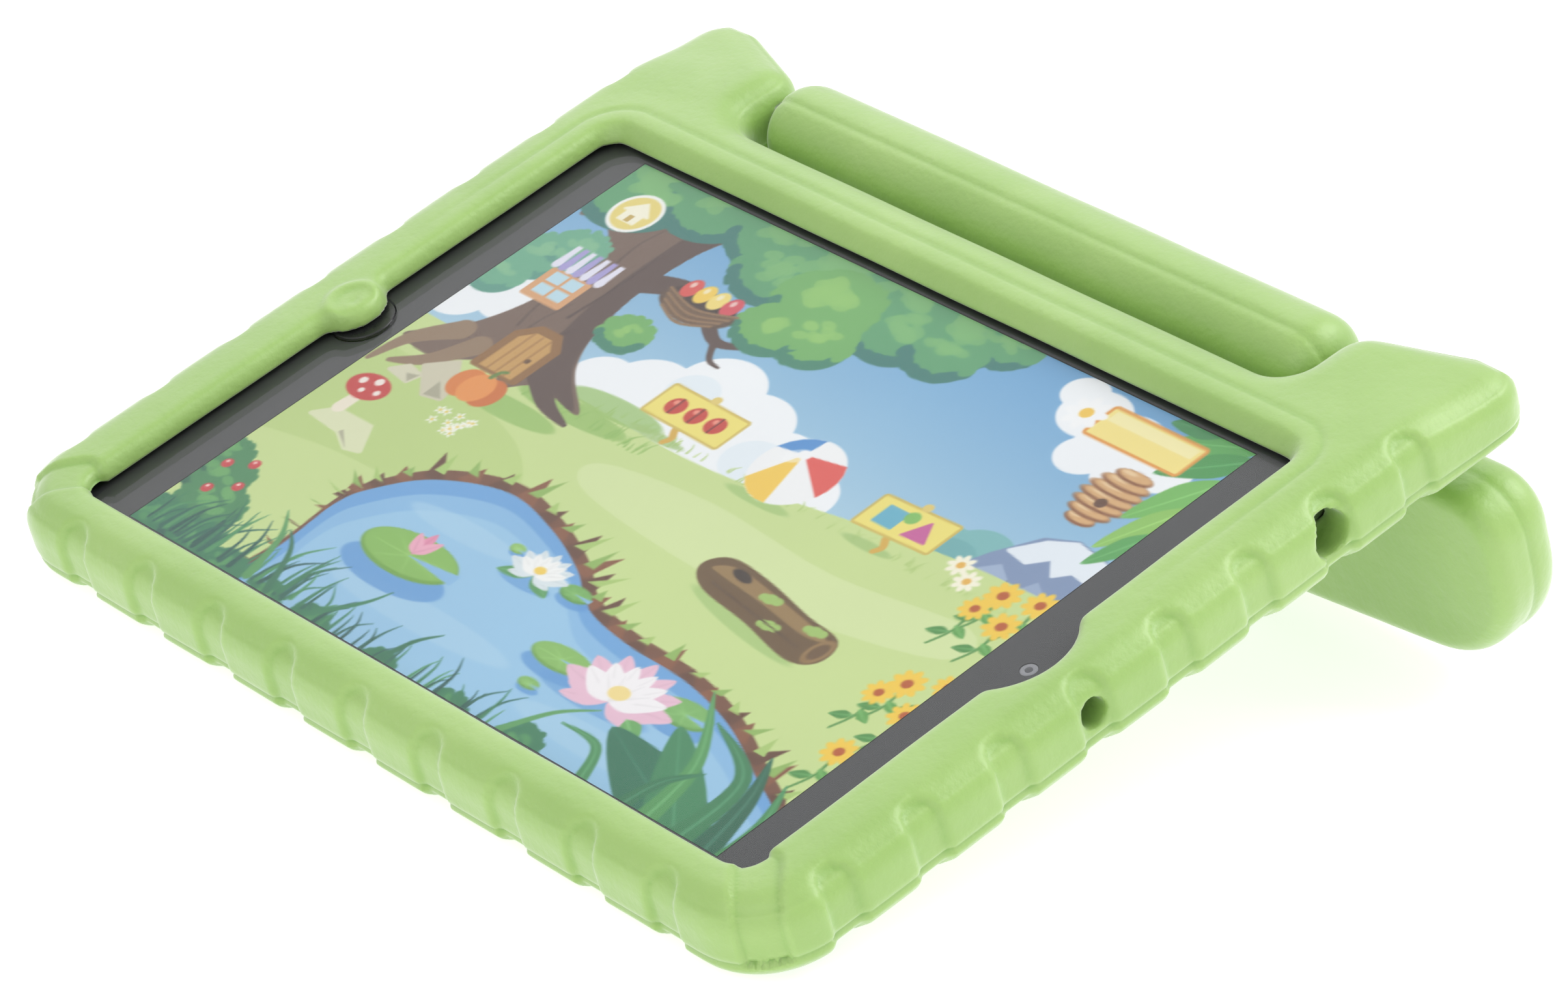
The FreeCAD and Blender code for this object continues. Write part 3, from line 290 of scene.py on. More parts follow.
def ridge(values, centre, width):
    """A bell shaped crest of height 1 round the centre."""
    return np.exp(-((values - centre) / width) ** 2)


def from_window(x, y):
    """How far a point of the face is outside the screen window's edge."""
    across = np.abs(x) - (WINDOW_HALF[0] - WINDOW_CORNER)
    up = np.abs(y) - (WINDOW_HALF[1] - WINDOW_CORNER)
    outside = np.hypot(np.maximum(across, 0), np.maximum(up, 0))
    frame_edge = outside + np.minimum(np.maximum(across, up), 0) - WINDOW_CORNER
    notch = np.hypot(x - CAMERA_NOTCH[0], y) - CAMERA_NOTCH[1]
    tab = np.hypot(x - HOME_TAB[0], y) - HOME_TAB[1]
    return np.maximum(np.minimum(frame_edge, notch), -tab)


def foam_blank(name, nodes, rounds):
    """A new mesh of those CAD solids in the tablet's frame, evenly remeshed and relaxed."""
    points, faces, start = [], [], 0
    for node in nodes:
        mesh = NODES[node].data
        row = np.empty(len(mesh.vertices) * 3)
        mesh.vertices.foreach_get("co", row)
        points.append(in_tablet(row.reshape(-1, 3)))
        faces += [[start + v for v in face.vertices] for face in mesh.polygons]
        start += len(mesh.vertices)
    blank_name = name + "_blank"
    blank = new_object(blank_name, new_mesh(blank_name, np.concatenate(points), faces))
    even = blank.modifiers.new("even", "REMESH")
    even.mode = "VOXEL"
    even.voxel_size = FOAM_VOXEL
    relax = blank.modifiers.new("relax", "SMOOTH")
    relax.factor = 0.5
    relax.iterations = rounds
    graph = bpy.context.evaluated_depsgraph_get()
    made = bpy.data.meshes.new_from_object(blank.evaluated_get(graph))
    bpy.data.objects.remove(blank)
    made.name = name
    return made


def read_points(mesh):
    """A mesh's points and normals as arrays."""
    points, normals = (np.empty(len(mesh.vertices) * 3) for _ in range(2))
    mesh.vertices.foreach_get("co", points)
    mesh.vertices.foreach_get("normal", normals)
    return points.reshape(-1, 3), normals.reshape(-1, 3)


def foam_piece(name, mesh, points, body, *nodes):
    """The finished foam piece: its points in the row frame, its finish, body and CAD nodes."""
    mesh.vertices.foreach_set("co", in_row(points).ravel())
    mesh.update()
    mesh.polygons.foreach_set("use_smooth", np.ones(len(mesh.polygons), dtype=bool))
    piece = new_object(name, mesh)
    mesh.materials.clear()
    mesh.materials.append(foam_material(name + "_foam", 1.0 if body == "case" else 3.0))
    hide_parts(*nodes)
    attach(piece, body)


def waviness(points, height):
    """The slight unevenness of a moulded foam skin."""
    x, y, z = (points[:, i] for i in range(3))
    waves = (np.sin(x / 7.3 + 1.7 * np.sin(y / 11.0)) + np.sin(y / 6.1 + z / 5.0)
             + np.sin((x + y) / 12.7 + 2.0) + np.sin(z / 4.1 + x / 9.0))
    return height * waves / 4.0


def case_shape(points, normals):
    """The case's moulded details, moved into its blank."""
    shaped = points.copy()
    x, y, z = (points[:, i] for i in range(3))
    front = ease(normals[:, 2], 0.2, 0.7) * ease(z, 1.6, 3.0)
    edge = from_window(x, y)

    # the lip leans in over the glass, most along the top
    low = 1 - ease(z, 1.4, 4.6)
    lip = low * (1 - ease(edge, 2.0, 4.5)) * ease(z, 1.0, 1.4)
    shaped[:, 2] -= 0.95 * lip
    shaped[:, 1] -= 1.5 * lip * ease(y, 55.0, 70.0)

    # the crease beside the window, sharp along the top and fading down the right side
    crease = ease(y, 15.0, 70.0) * ridge(edge, 6.2, 0.85)
    shaped[:, 2] -= 0.42 * front * crease

    # the face falls a little from the crease to the outer edge
    shaped[:, 2] -= 0.5 * front * ease(edge, 6.0, 15.0)

    # the raised ring and the dimple of the home pad
    pad = np.hypot(x - HOME_PAD[0], y - HOME_PAD[1])
    shaped[:, 2] += front * (0.75 * ridge(pad, 5.8, 1.3) - 0.35 * ridge(pad, 0.0, 1.5))

    # a shallow diagonal groove across each lower corner
    for side in (1, -1):
        right = (side * x - CORNER_GROOVE[0]) * math.sqrt(0.5)
        up = (y - CORNER_GROOVE[1]) * math.sqrt(0.5)
        along, across = right - up, right + up
        thumb = np.hypot(np.minimum(along - 6.0, 0.0), across) - 4.9
        groove = 1 - ease(thumb, -0.7, 0.7)
        shaped -= normals * (groove * (z > PARTING_LEVEL))[:, None]

    # the ears' front falls towards their tips
    tip = ease(np.abs(x) * 0.6 + (y - 92.0), 62.0, 108.0) * ease(y, 86.0, 108.0)
    height = (z - CASE_BACK) / (CASE_FRONT - CASE_BACK)
    shaped[:, 2] -= 3.8 * tip * np.clip(height, 0.0, 1.0)

    # the parting line round the side
    reach = np.maximum(np.abs(x) / CASE_HALF[0], np.abs(y) / CASE_HALF[1])
    outer = (reach > 0.955) & (normals[:, 2] < 0.7)
    shaped -= normals * (0.6 * outer * ridge(z, PARTING_LEVEL, 0.7))[:, None]

    # the skin is a little uneven, but not inside the window
    shaped += normals * (waviness(points, 0.10) * (edge >= 0.0))[:, None]
    return shaped


def handle_shape(points, normals):
    """The handle's moulded details, moved into its blank."""
    shaped = points.copy()
    x, y, z = (points[:, i] for i in range(3))
    grip = ease(-z, 20.0, 26.0)

    # the bar's ends reach further towards the ears
    end = ease(np.abs(x), 70.0, 82.0) * ease(z, -17.0, -13.0)
    shaped[:, 0] += np.sign(x) * BAR_END_REACH * end

    # the parting line along the middle of the grip's edges, and along the top of the bar
    rim = 1 - ease(np.abs(normals[:, 1]), 0.3, 0.7)
    shaped -= normals * (0.38 * grip * rim * ridge(y, GRIP_MIDDLE, 0.8))[:, None]
    bar = (1 - grip) * ease(normals[:, 2], 0.0, 0.4)
    shaped -= normals * (0.34 * bar * ridge(y, BAR_SEAM, 0.8))[:, None]
    shaped += normals * waviness(points, 0.12)[:, None]
    return shaped


def build_foam():
    """The case and the handle, each from a blank that its shape function finishes."""
    for name, body, nodes, rounds, shape in (
            ("case_foam", "case", ("foam_case_front", "foam_case_back"), 2, case_shape),
            ("handle_foam", "handle", ("handle_stand",), 4, handle_shape)):
        mesh = foam_blank(name, nodes, rounds)
        foam_piece(name, mesh, shape(*read_points(mesh)), body, *nodes)


# ------------------------------ the picture on the screen

# sizes and levels in millimetres, in the tablet's frame
PICTURE = (197.1, 147.8)
PICTURE_STEP = 0.4
PICTURE_LEVEL = -0.95
SCREEN_GLOW = 0.43
SCREEN_BLACK = 0.12
BORDER_DROP = 0.03
FRONT_CAMERA_X = 109.25
LENS_LEVEL = -1.09


class Picture:
    """A flat picture in screen colours, 0 to 255, painted with soft edged shapes in millimetres
    from its lower left corner."""

    def __init__(self, size, step):
        columns, rows = (int(round(length / step)) + 1 for length in size)
        self.u = np.linspace(0.0, size[0], columns)
        self.v = np.linspace(0.0, size[1], rows)
        self.soft = step
        self.rgb = np.zeros((rows, columns, 3))

    def paint(self, low, high, distance, colour, cover=1.0):
        """Colours what distance(u, v) calls inside, where negative is inside."""
        i0, i1 = np.searchsorted(self.u, (low[0] - 1.0, high[0] + 1.0))
        j0, j1 = np.searchsorted(self.v, (low[1] - 1.0, high[1] + 1.0))
        if i0 >= i1 or j0 >= j1:
            return
        u, v = np.meshgrid(self.u[i0:i1], self.v[j0:j1])
        amount = np.clip(0.5 - distance(u, v) / self.soft, 0.0, 1.0) * cover
        part = self.rgb[j0:j1, i0:i1]
        part += (np.asarray(colour, dtype=float) - part) * amount[..., None]

    def disc(self, u0, v0, across, up=None, colour=(0, 0, 0), turn=0.0, cover=1.0):
        """A disc, or an oval where up is given, turned by degrees."""
        up = across if up is None else up
        c, s = math.cos(math.radians(turn)), math.sin(math.radians(turn))
        reach = max(across, up)

        def distance(u, v):
            a = ((u - u0) * c + (v - v0) * s) / across
            b = (-(u - u0) * s + (v - v0) * c) / up
            return (np.hypot(a, b) - 1.0) * min(across, up)

        self.paint((u0 - reach, v0 - reach), (u0 + reach, v0 + reach), distance, colour, cover)

    def stroke(self, points, start, end, colour, cover=1.0):
        """A line through the points, as wide as start and end at its ends."""
        points = np.asarray(points, dtype=float)
        wide = max(start, end)
        count = len(points) - 1

        def distance(u, v):
            nearest = np.full(u.shape, 1e9)
            for k in range(count):
                (ua, va), (ub, vb) = points[k], points[k + 1]
                du, dv = ub - ua, vb - va
                t = np.clip(((u - ua) * du + (v - va) * dv) / (du * du + dv * dv + 1e-9), 0, 1)
                half = (start + (end - start) * (k + t) / count) / 2
                away = np.hypot(u - ua - t * du, v - va - t * dv) - half
                nearest = np.minimum(nearest, away)
            return nearest

        self.paint(points.min(0) - wide, points.max(0) + wide, distance, colour, cover)

    def polygon(self, points, colour, cover=1.0, rounded=0.0):
        """A closed outline through the points, with its corners rounded if rounded is given."""
        points = np.asarray(points, dtype=float)
        ends = np.roll(points, -1, axis=0)

        def distance(u, v):
            nearest = np.full(u.shape, 1e9)
            inside = np.zeros(u.shape, dtype=bool)
            for (ua, va), (ub, vb) in zip(points, ends):
                du, dv = ub - ua, vb - va
                t = np.clip(((u - ua) * du + (v - va) * dv) / (du * du + dv * dv + 1e-9), 0, 1)
                nearest = np.minimum(nearest, np.hypot(u - ua - t * du, v - va - t * dv))
                if abs(dv) > 1e-9:
                    crossing = ((va > v) != (vb > v)) & (u < du * (v - va) / dv + ua)
                    inside ^= crossing
            return np.where(inside, -nearest, nearest) - rounded

        margin = rounded + 0.5
        self.paint(points.min(0) - margin, points.max(0) + margin, distance, colour, cover)

    def box(self, u0, v0, u1, v1, colour, cover=1.0, rounded=0.0):
        """An upright rectangle between two corners."""
        self.polygon(((u0, v0), (u1, v0), (u1, v1), (u0, v1)), colour, cover, rounded)


def smooth_line(points, per_span=6, closed=False):
    """Points along a smooth curve through the given ones."""
    points = np.asarray(points, dtype=float)
    count = len(points)
    spans = count if closed else count - 1
    made = []
    for k in range(spans):
        if closed:
            a, b, c, d = (points[(k + i) % count] for i in (-1, 0, 1, 2))
        else:
            a, b, c, d = (points[min(max(k + i, 0), count - 1)] for i in (-1, 0, 1, 2))
        for t in np.arange(per_span) / per_span:
            made.append(0.5 * (2 * b + (c - a) * t + (2 * a - 5 * b + 4 * c - d) * t * t
                               + (3 * b - a - 3 * c + d) * t ** 3))
    if not closed:
        made.append(points[-1])
    return np.array(made)


def on_oval(u, v, across, up, turn):
    """The point at turn radians on an upright oval round (u, v)."""
    return u + across * math.cos(turn), v + up * math.sin(turn)


class Meadow(Picture):
    """A generic meadow with a pond, a tree and a few plain play signs."""

    def __init__(self):
        super().__init__(PICTURE, PICTURE_STEP)
        self.random = np.random.default_rng(7)
        self.draw = self.random.uniform

    def cluster(self, centres, colour, cover=1.0):
        """Discs that overlap into one soft clump."""
        for u, v, radius in centres:
            self.disc(u, v, radius, radius * 0.85, colour, cover=cover)

    def leafy(self, centres, colours, leaf=2.2):
        """Foliage: overlapping clumps with a leafy edge, darker below and lighter above."""
        dark, middle, light = colours
        for u, v, radius in centres:
            self.disc(u + 0.8, v - 1.2, radius * 1.06, radius * 0.9, dark)
        for u, v, radius in centres:
            self.disc(u, v, radius, radius * 0.82, middle)
            count = int(radius * 3.2)
            for k in range(count):
                turn = 2 * math.pi * (k + self.draw(-0.3, 0.3)) / count
                tip = radius + self.draw(-0.2, 0.9)
                self.disc(*on_oval(u, v, tip, 0.82 * tip, turn), leaf * self.draw(0.5, 0.9),
                    leaf * 0.5, middle if math.sin(turn) > -0.3 else dark,
                    turn=math.degrees(turn) + 60)
        for u, v, radius in centres:
            for _ in range(int(radius * 1.2)):
                turn, reach = self.draw(0, 6.28), radius * self.draw(0, 0.6)
                self.disc(u + reach * math.cos(turn) - 0.8,
                    v + 0.7 * reach * math.sin(turn) + radius * 0.2, radius * 0.24, radius * 0.15,
                    light, turn=self.draw(-40, 40), cover=0.75)

    def grass(self, low, high, level, count, height, colours, lean=0.0):
        """Tapered, curved blades that rise from a line between low and high."""
        for _ in range(count):
            u = self.draw(low, high)
            tall = height * self.draw(0.45, 1.0)
            bend = (lean + self.draw(-0.55, 0.55)) * tall
            colour = colours[self.random.integers(len(colours))]
            root = level + self.draw(-1.0, 0.6)
            line = smooth_line([(u, root), (u + bend * 0.25, root + tall * 0.6),
                (u + bend, root + tall)], 4)
            self.stroke(line, tall * 0.085 + 0.35, 0.1, colour)

    def sky(self):
        height = (self.v / PICTURE[1])[:, None, None]
        low, high = np.array([184, 217, 234.0]), np.array([112, 170, 216.0])
        blend = np.clip((height - 0.5) / 0.5, 0, 1)
        self.rgb[:] = low + (high - low) * blend
        white = (250, 252, 254)
        self.cluster(((66, 92, 12), (80, 101, 12), (95, 96, 12), (54, 89, 9), (110, 90, 12),
            (123, 86, 10), (84, 88, 16), (104, 84, 13), (69, 84, 12)), white)
        self.cluster(((4, 102, 9), (13, 97, 8), (1, 93, 9)), white)
        self.cluster(((158, 139, 9), (170, 135, 11), (184, 133, 8), (166, 128, 7), (177, 127, 6),
            (151, 143, 6)), white)
        self.cluster(((76, 97, 7), (106, 88, 8)), (232, 243, 250), 0.7)

    def hills(self):
        self.cluster(((163, 90, 9), (171, 93, 9), (180, 88, 11)), (128, 190, 190))
        self.cluster(((166, 88, 8), (177, 86, 9)), (111, 176, 178), 0.8)
        self.polygon(((168, 82), (174, 95), (180, 104), (187, 107), (198, 105), (199, 80)),
            (132, 153, 188), rounded=1.0)
        self.polygon(((176, 98), (181, 104), (187, 107), (198, 105), (199, 99), (193, 100),
            (190, 97), (186, 101), (182, 97)), (236, 243, 250), rounded=0.6)
        self.polygon(((172, 88), (178, 94), (183, 91), (180, 84)), (164, 183, 212))
        self.polygon(((185, 86), (189, 94), (196, 90), (198, 84)), (157, 176, 206))
        self.polygon(((180, 84), (183, 91), (186, 87), (185, 82)), (108, 128, 166))

    def meadow(self):
        rim = smooth_line(((-4, 84), (25, 83), (60, 82), (92, 81), (118, 83), (145, 87), (172, 90),
            (201, 91)), 6)
        self.polygon(np.concatenate((rim, [(201, -3), (-4, -3)])), (207, 226, 152))
        shade = smooth_line(((-4, 72), (30, 70), (58, 63), (70, 50), (52, 42), (20, 40), (-4, 36)),
            6)
        self.polygon(np.concatenate((shade, [(-4, 72)])), (186, 211, 126), 0.55)
        light = smooth_line(((78, 70), (110, 74), (150, 72), (188, 76), (190, 66), (150, 58),
            (112, 58), (80, 62)), 5, closed=True)
        self.polygon(light, (222, 236, 176), 0.75)
        self.grass(60, 196, 82.5, 90, 3.0, ((196, 219, 138), (184, 210, 126)))
        for u, v, wide in ((66, 84, 15), (58, 78, 18), (44, 71, 16)):
            self.disc(u, v, wide, 3.2, (150, 193, 100), cover=0.75)
        self.grass(40, 84, 77, 50, 4.5, ((150, 193, 100), (166, 204, 112)))

    def tree(self):
        bark, dark, pale = (122, 99, 86), (94, 74, 68), (152, 126, 100)
        self.polygon(smooth_line(((1, 76), (10, 84), (17, 98), (19, 116), (16, 134), (20, 150),
            (44, 150), (38, 132), (37, 116), (40, 100), (47, 88), (60, 78), (44, 80), (36, 75),
            (28, 80), (14, 74)), 5, closed=True), bark)
        self.polygon(smooth_line(((33, 150), (30, 120), (33, 96), (40, 84), (58, 78), (46, 88),
            (40, 100), (37, 116), (38, 132), (44, 150)), 5, closed=True), dark)
        for start, end, colour, *line in (
                (7, 1.5, dark, (36, 118), (46, 121), (56, 118), (66, 112), (74, 114)),
                (2, 0.8, dark, (66, 112), (70, 107), (74, 106)),
                (6, 2.0, bark, (20, 124), (10, 130), (2, 128)),
                (7, 1.5, pale, (12, 84), (4, 76), (1, 66)), (7, 1.5, pale, (20, 82), (14, 73), (6, 68)),
                (7, 1.2, dark, (40, 84), (50, 77), (60, 74))):
            self.stroke(smooth_line(line, 5), start, end, colour)
        for u, low, high, lean in ((22, 92, 112, 2), (26, 86, 104, 1), (30, 100, 126, -1),
                (24, 118, 136, 1), (35, 88, 98, 3)):
            self.stroke(smooth_line(((u, low), (u - lean, (low + high) / 2), (u + 1, high)), 4),
                0.9, 0.3, (98, 78, 70) if u < 30 else (78, 60, 58), 0.8)
        self.leafy(((6, 112, 8), (2, 103, 7), (12, 118, 7)), ((92, 160, 140), (112, 180, 146),
            (136, 196, 152)))
        self.leafy(((8, 142, 16), (28, 147, 14), (50, 146, 13), (70, 144, 16), (92, 146, 14),
            (112, 144, 13), (124, 146, 8), (60, 136, 11), (100, 136, 11), (82, 130, 10),
            (114, 136, 9)), ((60, 128, 118), (96, 166, 116), (128, 190, 120)), 3.0)
        self.leafy(((78, 134, 13), (86, 124, 9), (46, 103, 6), (74, 122, 9)),
            ((66, 138, 112), (118, 182, 104), (150, 204, 112)), 2.6)

    def tree_house(self):
        """A nest of eggs, a shaded window and a wooden door on the tree."""
        self.disc(53, 118, 11.5, 5.0, (98, 76, 62))
        self.disc(53, 120.5, 10, 3.2, (70, 54, 50))
        for u, colour in ((46.5, (226, 90, 84)), (51, (250, 212, 92)), (55.5, (250, 226, 130)),
                (60, (222, 84, 96))):
            self.disc(u, 122.2, 2.4, 3.2, colour)
            self.disc(u - 0.6, 123.3, 0.7, 1.0, (255, 250, 235), cover=0.7)
        for k in range(7):
            sag = 0.9 * k
            line = smooth_line(((42 + 0.5 * k, 120 - sag), (53, 117.4 - sag),
                (64 - 0.5 * k, 120.4 - sag)), 5)
            self.stroke(line, 0.8, 0.8, ((150, 118, 84), (118, 90, 68))[k % 2])
        self.box(13, 101, 25, 110, (226, 170, 120), rounded=0.8)
        self.box(14.2, 102.2, 23.8, 110, (196, 228, 240))
        for bar in (((19, 102), (19, 110)), ((14, 106), (24, 106))):
            self.stroke(bar, 0.9, 0.9, (226, 170, 120))
        for k in range(7):
            colour = ((238, 236, 250), (176, 166, 220))[k % 2]
            left = 10.6 + 2.45 * k
            self.polygon(((left, 112), (left + 2.45, 112), (left + 2.0, 119), (left + 0.5, 119)),
                colour)
            self.disc(left + 1.2, 112, 1.25, 1.5, colour)
        self.polygon(((24, 78), (38, 78), (38, 90), (34, 94), (28, 94), (24, 90)), (150, 108, 62),
            rounded=1.0)
        self.polygon(((25.5, 78), (36.5, 78), (36.5, 89.5), (33.5, 92.5), (28.5, 92.5),
            (25.5, 89.5)), (206, 160, 92))
        for u in (28.2, 31, 33.8):
            self.stroke(((u, 78), (u, 92)), 0.45, 0.45, (166, 120, 66))
        self.disc(34.6, 84.5, 0.8, colour=(110, 78, 50))

    def sign(self, u, v, wide, high, tilt):
        """A yellow board on a short crooked post, with its shadow on the grass."""
        self.disc(u - 2, v - 9.5, wide * 0.36, 1.4, (168, 200, 122), cover=0.8)
        self.stroke(smooth_line(((u, v), (u - 0.4, v - 5), (u + 1.4, v - 8), (u + 0.6, v - 10)), 4),
            2.0, 1.6, (222, 178, 76))
        half, up = wide / 2, high / 2
        board = ((u - half, v - up + tilt), (u + half, v - up - tilt), (u + half, v + up - tilt),
            (u - half, v + up + tilt))
        self.polygon(board, (216, 190, 90), rounded=1.0)
        self.polygon(board, (246, 230, 122), rounded=0.3)
        self.disc(u, v + up + 1.6, 1.3, colour=(232, 208, 120))

    def play_things(self):
        self.sign(83, 92, 24, 9, 0.3)
        for u in (76.5, 83, 89.5):
            self.disc(u, 92, 2.7, colour=(206, 66, 56))
            self.disc(u - 0.8, 93, 0.8, colour=(244, 150, 130))
            self.stroke(((u, 89.4), (u, 94.6)), 0.45, 0.45, (110, 40, 40))
        self.sign(151, 92, 21, 9, -0.5)
        self.box(143.5, 89, 149, 94.5, (104, 182, 206), rounded=0.3)
        self.polygon(((152.5, 89), (159, 89.4), (155.6, 95)), (206, 96, 160), rounded=0.3)
        self.disc(150.6, 94.0, 1.9, colour=(134, 196, 100))
        self.ball(117, 91, 11.0)
        # a plain round button with a house sign
        for radius, colour in ((6.9, (252, 252, 246)), (5.9, (240, 220, 128))):
            self.disc(13, 134, radius, colour=colour)
        self.polygon(((9.2, 134.2), (13, 137.8), (16.8, 134.2)), (255, 250, 226), rounded=0.4)
        self.box(10.4, 130.8, 15.6, 134.6, (255, 250, 226), rounded=0.3)
        self.box(12.2, 130.8, 13.8, 133.2, (206, 176, 96))
        # a blank ribbon with a daisy
        self.box(161, 134.5, 187, 142.5, (236, 162, 74), rounded=1.4)
        self.box(161, 134.5, 187, 142.5, (252, 232, 142), rounded=0.5)
        self.box(162, 139.5, 186, 142, (255, 246, 190), 0.8, 0.4)
        self.flower(156, 138.5, 5.2, (255, 255, 255), (250, 206, 84))

    def ball(self, u, v, radius):
        """A beach ball with curved panels."""
        self.disc(u, v - radius, radius * 0.9, 1.6, (164, 200, 118), cover=0.7)
        self.disc(u, v, radius, colour=(250, 250, 250))
        pole = np.array((u - 0.25 * radius, v + 0.45 * radius))
        for turn, colour in ((10, (232, 92, 84)), (130, (84, 150, 214)), (250, (250, 208, 84))):
            ends = [on_oval(u, v, radius, radius, math.radians(turn + s))
                    for s in (-30, -15, 0, 15, 30)]
            self.polygon([pole, *ends], colour)
        self.disc(pole[0], pole[1], 1.7, 1.4, (250, 250, 250))
        self.disc(u - 0.35 * radius, v + 0.35 * radius, radius * 0.32, radius * 0.2,
            (255, 255, 255), turn=40, cover=0.5)

    def flower(self, u, v, radius, petals, heart, count=8):
        """A daisy with that many round petals."""
        for k in range(count):
            turn = 2 * math.pi * k / count + 0.2
            self.disc(*on_oval(u, v, 0.62 * radius, 0.62 * radius, turn), radius * 0.42,
                radius * 0.24, petals, turn=math.degrees(turn))
        self.disc(u, v, radius * 0.32, colour=heart)

    def beehive(self):
        for k, wide in enumerate((4.2, 6.0, 7.2, 7.8, 7.6, 6.8, 5.2)):
            v = 113 + 2.6 * k
            self.disc(181, v, wide, 1.9, (150, 98, 62))
            self.disc(181, v + 0.4, wide - 0.5, 1.4, (222, 176, 122))
            self.disc(179, v + 0.7, wide * 0.4, 0.6, (246, 216, 170), cover=0.8)
        self.disc(181, 119, 1.5, colour=(104, 70, 52))

    def corner_leaves(self):
        for root, tip, wide, colour in (
                ((198, 150), (178, 141), 9, (96, 176, 92)), ((199, 146), (183, 132), 8, (76, 158, 84)),
                ((199, 138), (188, 118), 9, (120, 190, 96)), ((199, 128), (190, 108), 7, (146, 200, 98)),
                ((199, 118), (192, 103), 6, (92, 170, 92)), ((188, 150), (174, 146), 7, (70, 150, 90))):
            self.leaf(root, tip, wide, colour)

    def leaf(self, root, tip, wide, colour, vein=None):
        """A pointed leaf with a paler midrib."""
        root, tip = np.array(root, dtype=float), np.array(tip, dtype=float)
        side = np.array((tip[1] - root[1], root[0] - tip[0]))
        side = side / np.hypot(*side) * wide / 2
        outline = smooth_line((root, root + (tip - root) * 0.4 + side, tip,
            root + (tip - root) * 0.4 - side), 8, closed=True)
        self.polygon(outline, colour)
        pale = vein or tuple(min(255, c + 28) for c in colour)
        self.stroke((root, tip), 0.7, 0.2, pale, 0.8)

    def log(self):
        body = smooth_line(((124, 59), (128, 63.4), (140, 62.6), (156, 59.4), (167, 57.6),
            (168.4, 51.6), (162, 49), (146, 52.2), (130, 54.6)), 5, closed=True)
        self.disc(146, 50.5, 19, 2.4, (172, 204, 124), turn=-9, cover=0.8)
        self.polygon(body, (110, 84, 52), rounded=0.8)
        top = smooth_line(((126, 60), (132, 62.6), (148, 60.4), (165, 57.2), (160, 55.4),
            (144, 57.6), (130, 59)), 5, closed=True)
        self.polygon(top, (156, 126, 80))
        self.disc(166.6, 53.6, 2.6, 4.2, (150, 118, 74), turn=-10)
        self.disc(166.6, 53.6, 1.6, 2.8, (112, 84, 54), turn=-10)
        self.disc(134, 61.3, 3.2, 1.3, (58, 44, 36), turn=-10)
        for u, v in ((145, 59.5), (151, 53.5), (161, 57.6)):
            self.cluster(((u, v, 1.8), (u + 2, v + 0.2, 1.4), (u - 1.8, v - 0.2, 1.3)),
                (166, 200, 108))
        for k in range(5):
            self.stroke(((130 + 6 * k, 56.5 - 0.8 * k), (138 + 6 * k, 55.3 - 0.8 * k)), 0.4, 0.2,
                (84, 62, 42))

    def pond(self):
        shore = smooth_line(((36, -3), (38, 12), (37, 28), (40, 36), (50, 46), (68, 52), (86, 49),
            (102, 43), (114, 36), (130, 33), (150, 32), (168, 28), (184, 21), (199, 13), (201, -3)),
            7)
        bank = shore + np.array((-0.4, 2.6))
        self.polygon(np.concatenate((bank, [(201, -3), (33, -3)])), (122, 78, 56), rounded=0.8)
        for k in range(4, len(shore) - 8, 3):
            (u, v), (un, vn) = shore[k], shore[k + 1]
            out = np.array((vn - v, -(un - u)))
            out = -out / (np.hypot(*out) + 1e-9)
            tall = self.draw(2.6, 8.4)
            lean = self.draw(-3.0, 3.0)
            root = np.array((u, v))
            tip = root + out * tall + np.array((lean, 0.8))
            self.polygon((root + (-3.4, -0.5), tip, root + (3.4, -0.5)),
                ((104, 66, 48), (140, 88, 60))[k % 2])
            blade = root + out * (tall + 1.6) + np.array((-lean, 0.4))
            self.polygon((root + out * 2.4 + (-1.8, 0), blade, root + out * 2.4 + (1.6, 0)),
                ((176, 207, 118), (150, 188, 98))[k % 2])
        for right, down, low, colour in ((0, 0, 36, (112, 170, 224)), (3, 4, 40, (142, 192, 232)),
                (6, 8.5, 44, (158, 204, 236))):
            water = shore + np.array((right, -down))
            self.polygon(np.concatenate((water, [(201, -3), (low, -3)])), colour)
        for u, v, wide, high in ((84, 14, 30, 4), (70, 38, 18, 3), (150, 8, 26, 4)):
            self.disc(u, v, wide, high, (178, 216, 240), cover=0.55)

    def lily_pad(self, u, v, wide, high, colour):
        """A floating leaf with a notch, its veins and its shadow."""
        self.disc(u + 1.0, v - high * 0.9, wide * 1.1, high * 0.9, (92, 154, 216), cover=0.75)
        self.disc(u, v, wide, high, tuple(c - 22 for c in colour))
        self.disc(u - 0.2, v + 0.5, wide * 0.96, high * 0.9, colour)
        for turn in (20, 75, 130, 180, 230, 285, 335):
            end = on_oval(u, v, 0.8 * wide, 0.8 * high, math.radians(turn))
            self.stroke(((u, v), end), 0.6, 0.2, tuple(c + 16 for c in colour), 0.8)
        self.polygon(((u, v), (u + wide * 1.05, v + high * 0.25),
            (u + wide * 1.05, v - high * 0.3)), (142, 192, 232))

    def water_lily(self, u, v, size, petal, tint, heart):
        """An open water lily: three rings of pointed petals."""
        rows = ((1.0, (-78, -52, -26, 0, 26, 52, 78), tint), (0.82, (-62, -36, -12, 12, 36, 62),
            petal), (0.56, (-44, -18, 18, 44), petal))
        for turn in (-112, -92, 92, 112):
            self.petal(u, v, size * 0.74, turn, tint)
        for reach, turns, colour in rows:
            for turn in turns:
                self.petal(u, v, size * reach, turn, colour)
        self.disc(u, v + size * 0.16, size * 0.17, size * 0.12, heart)

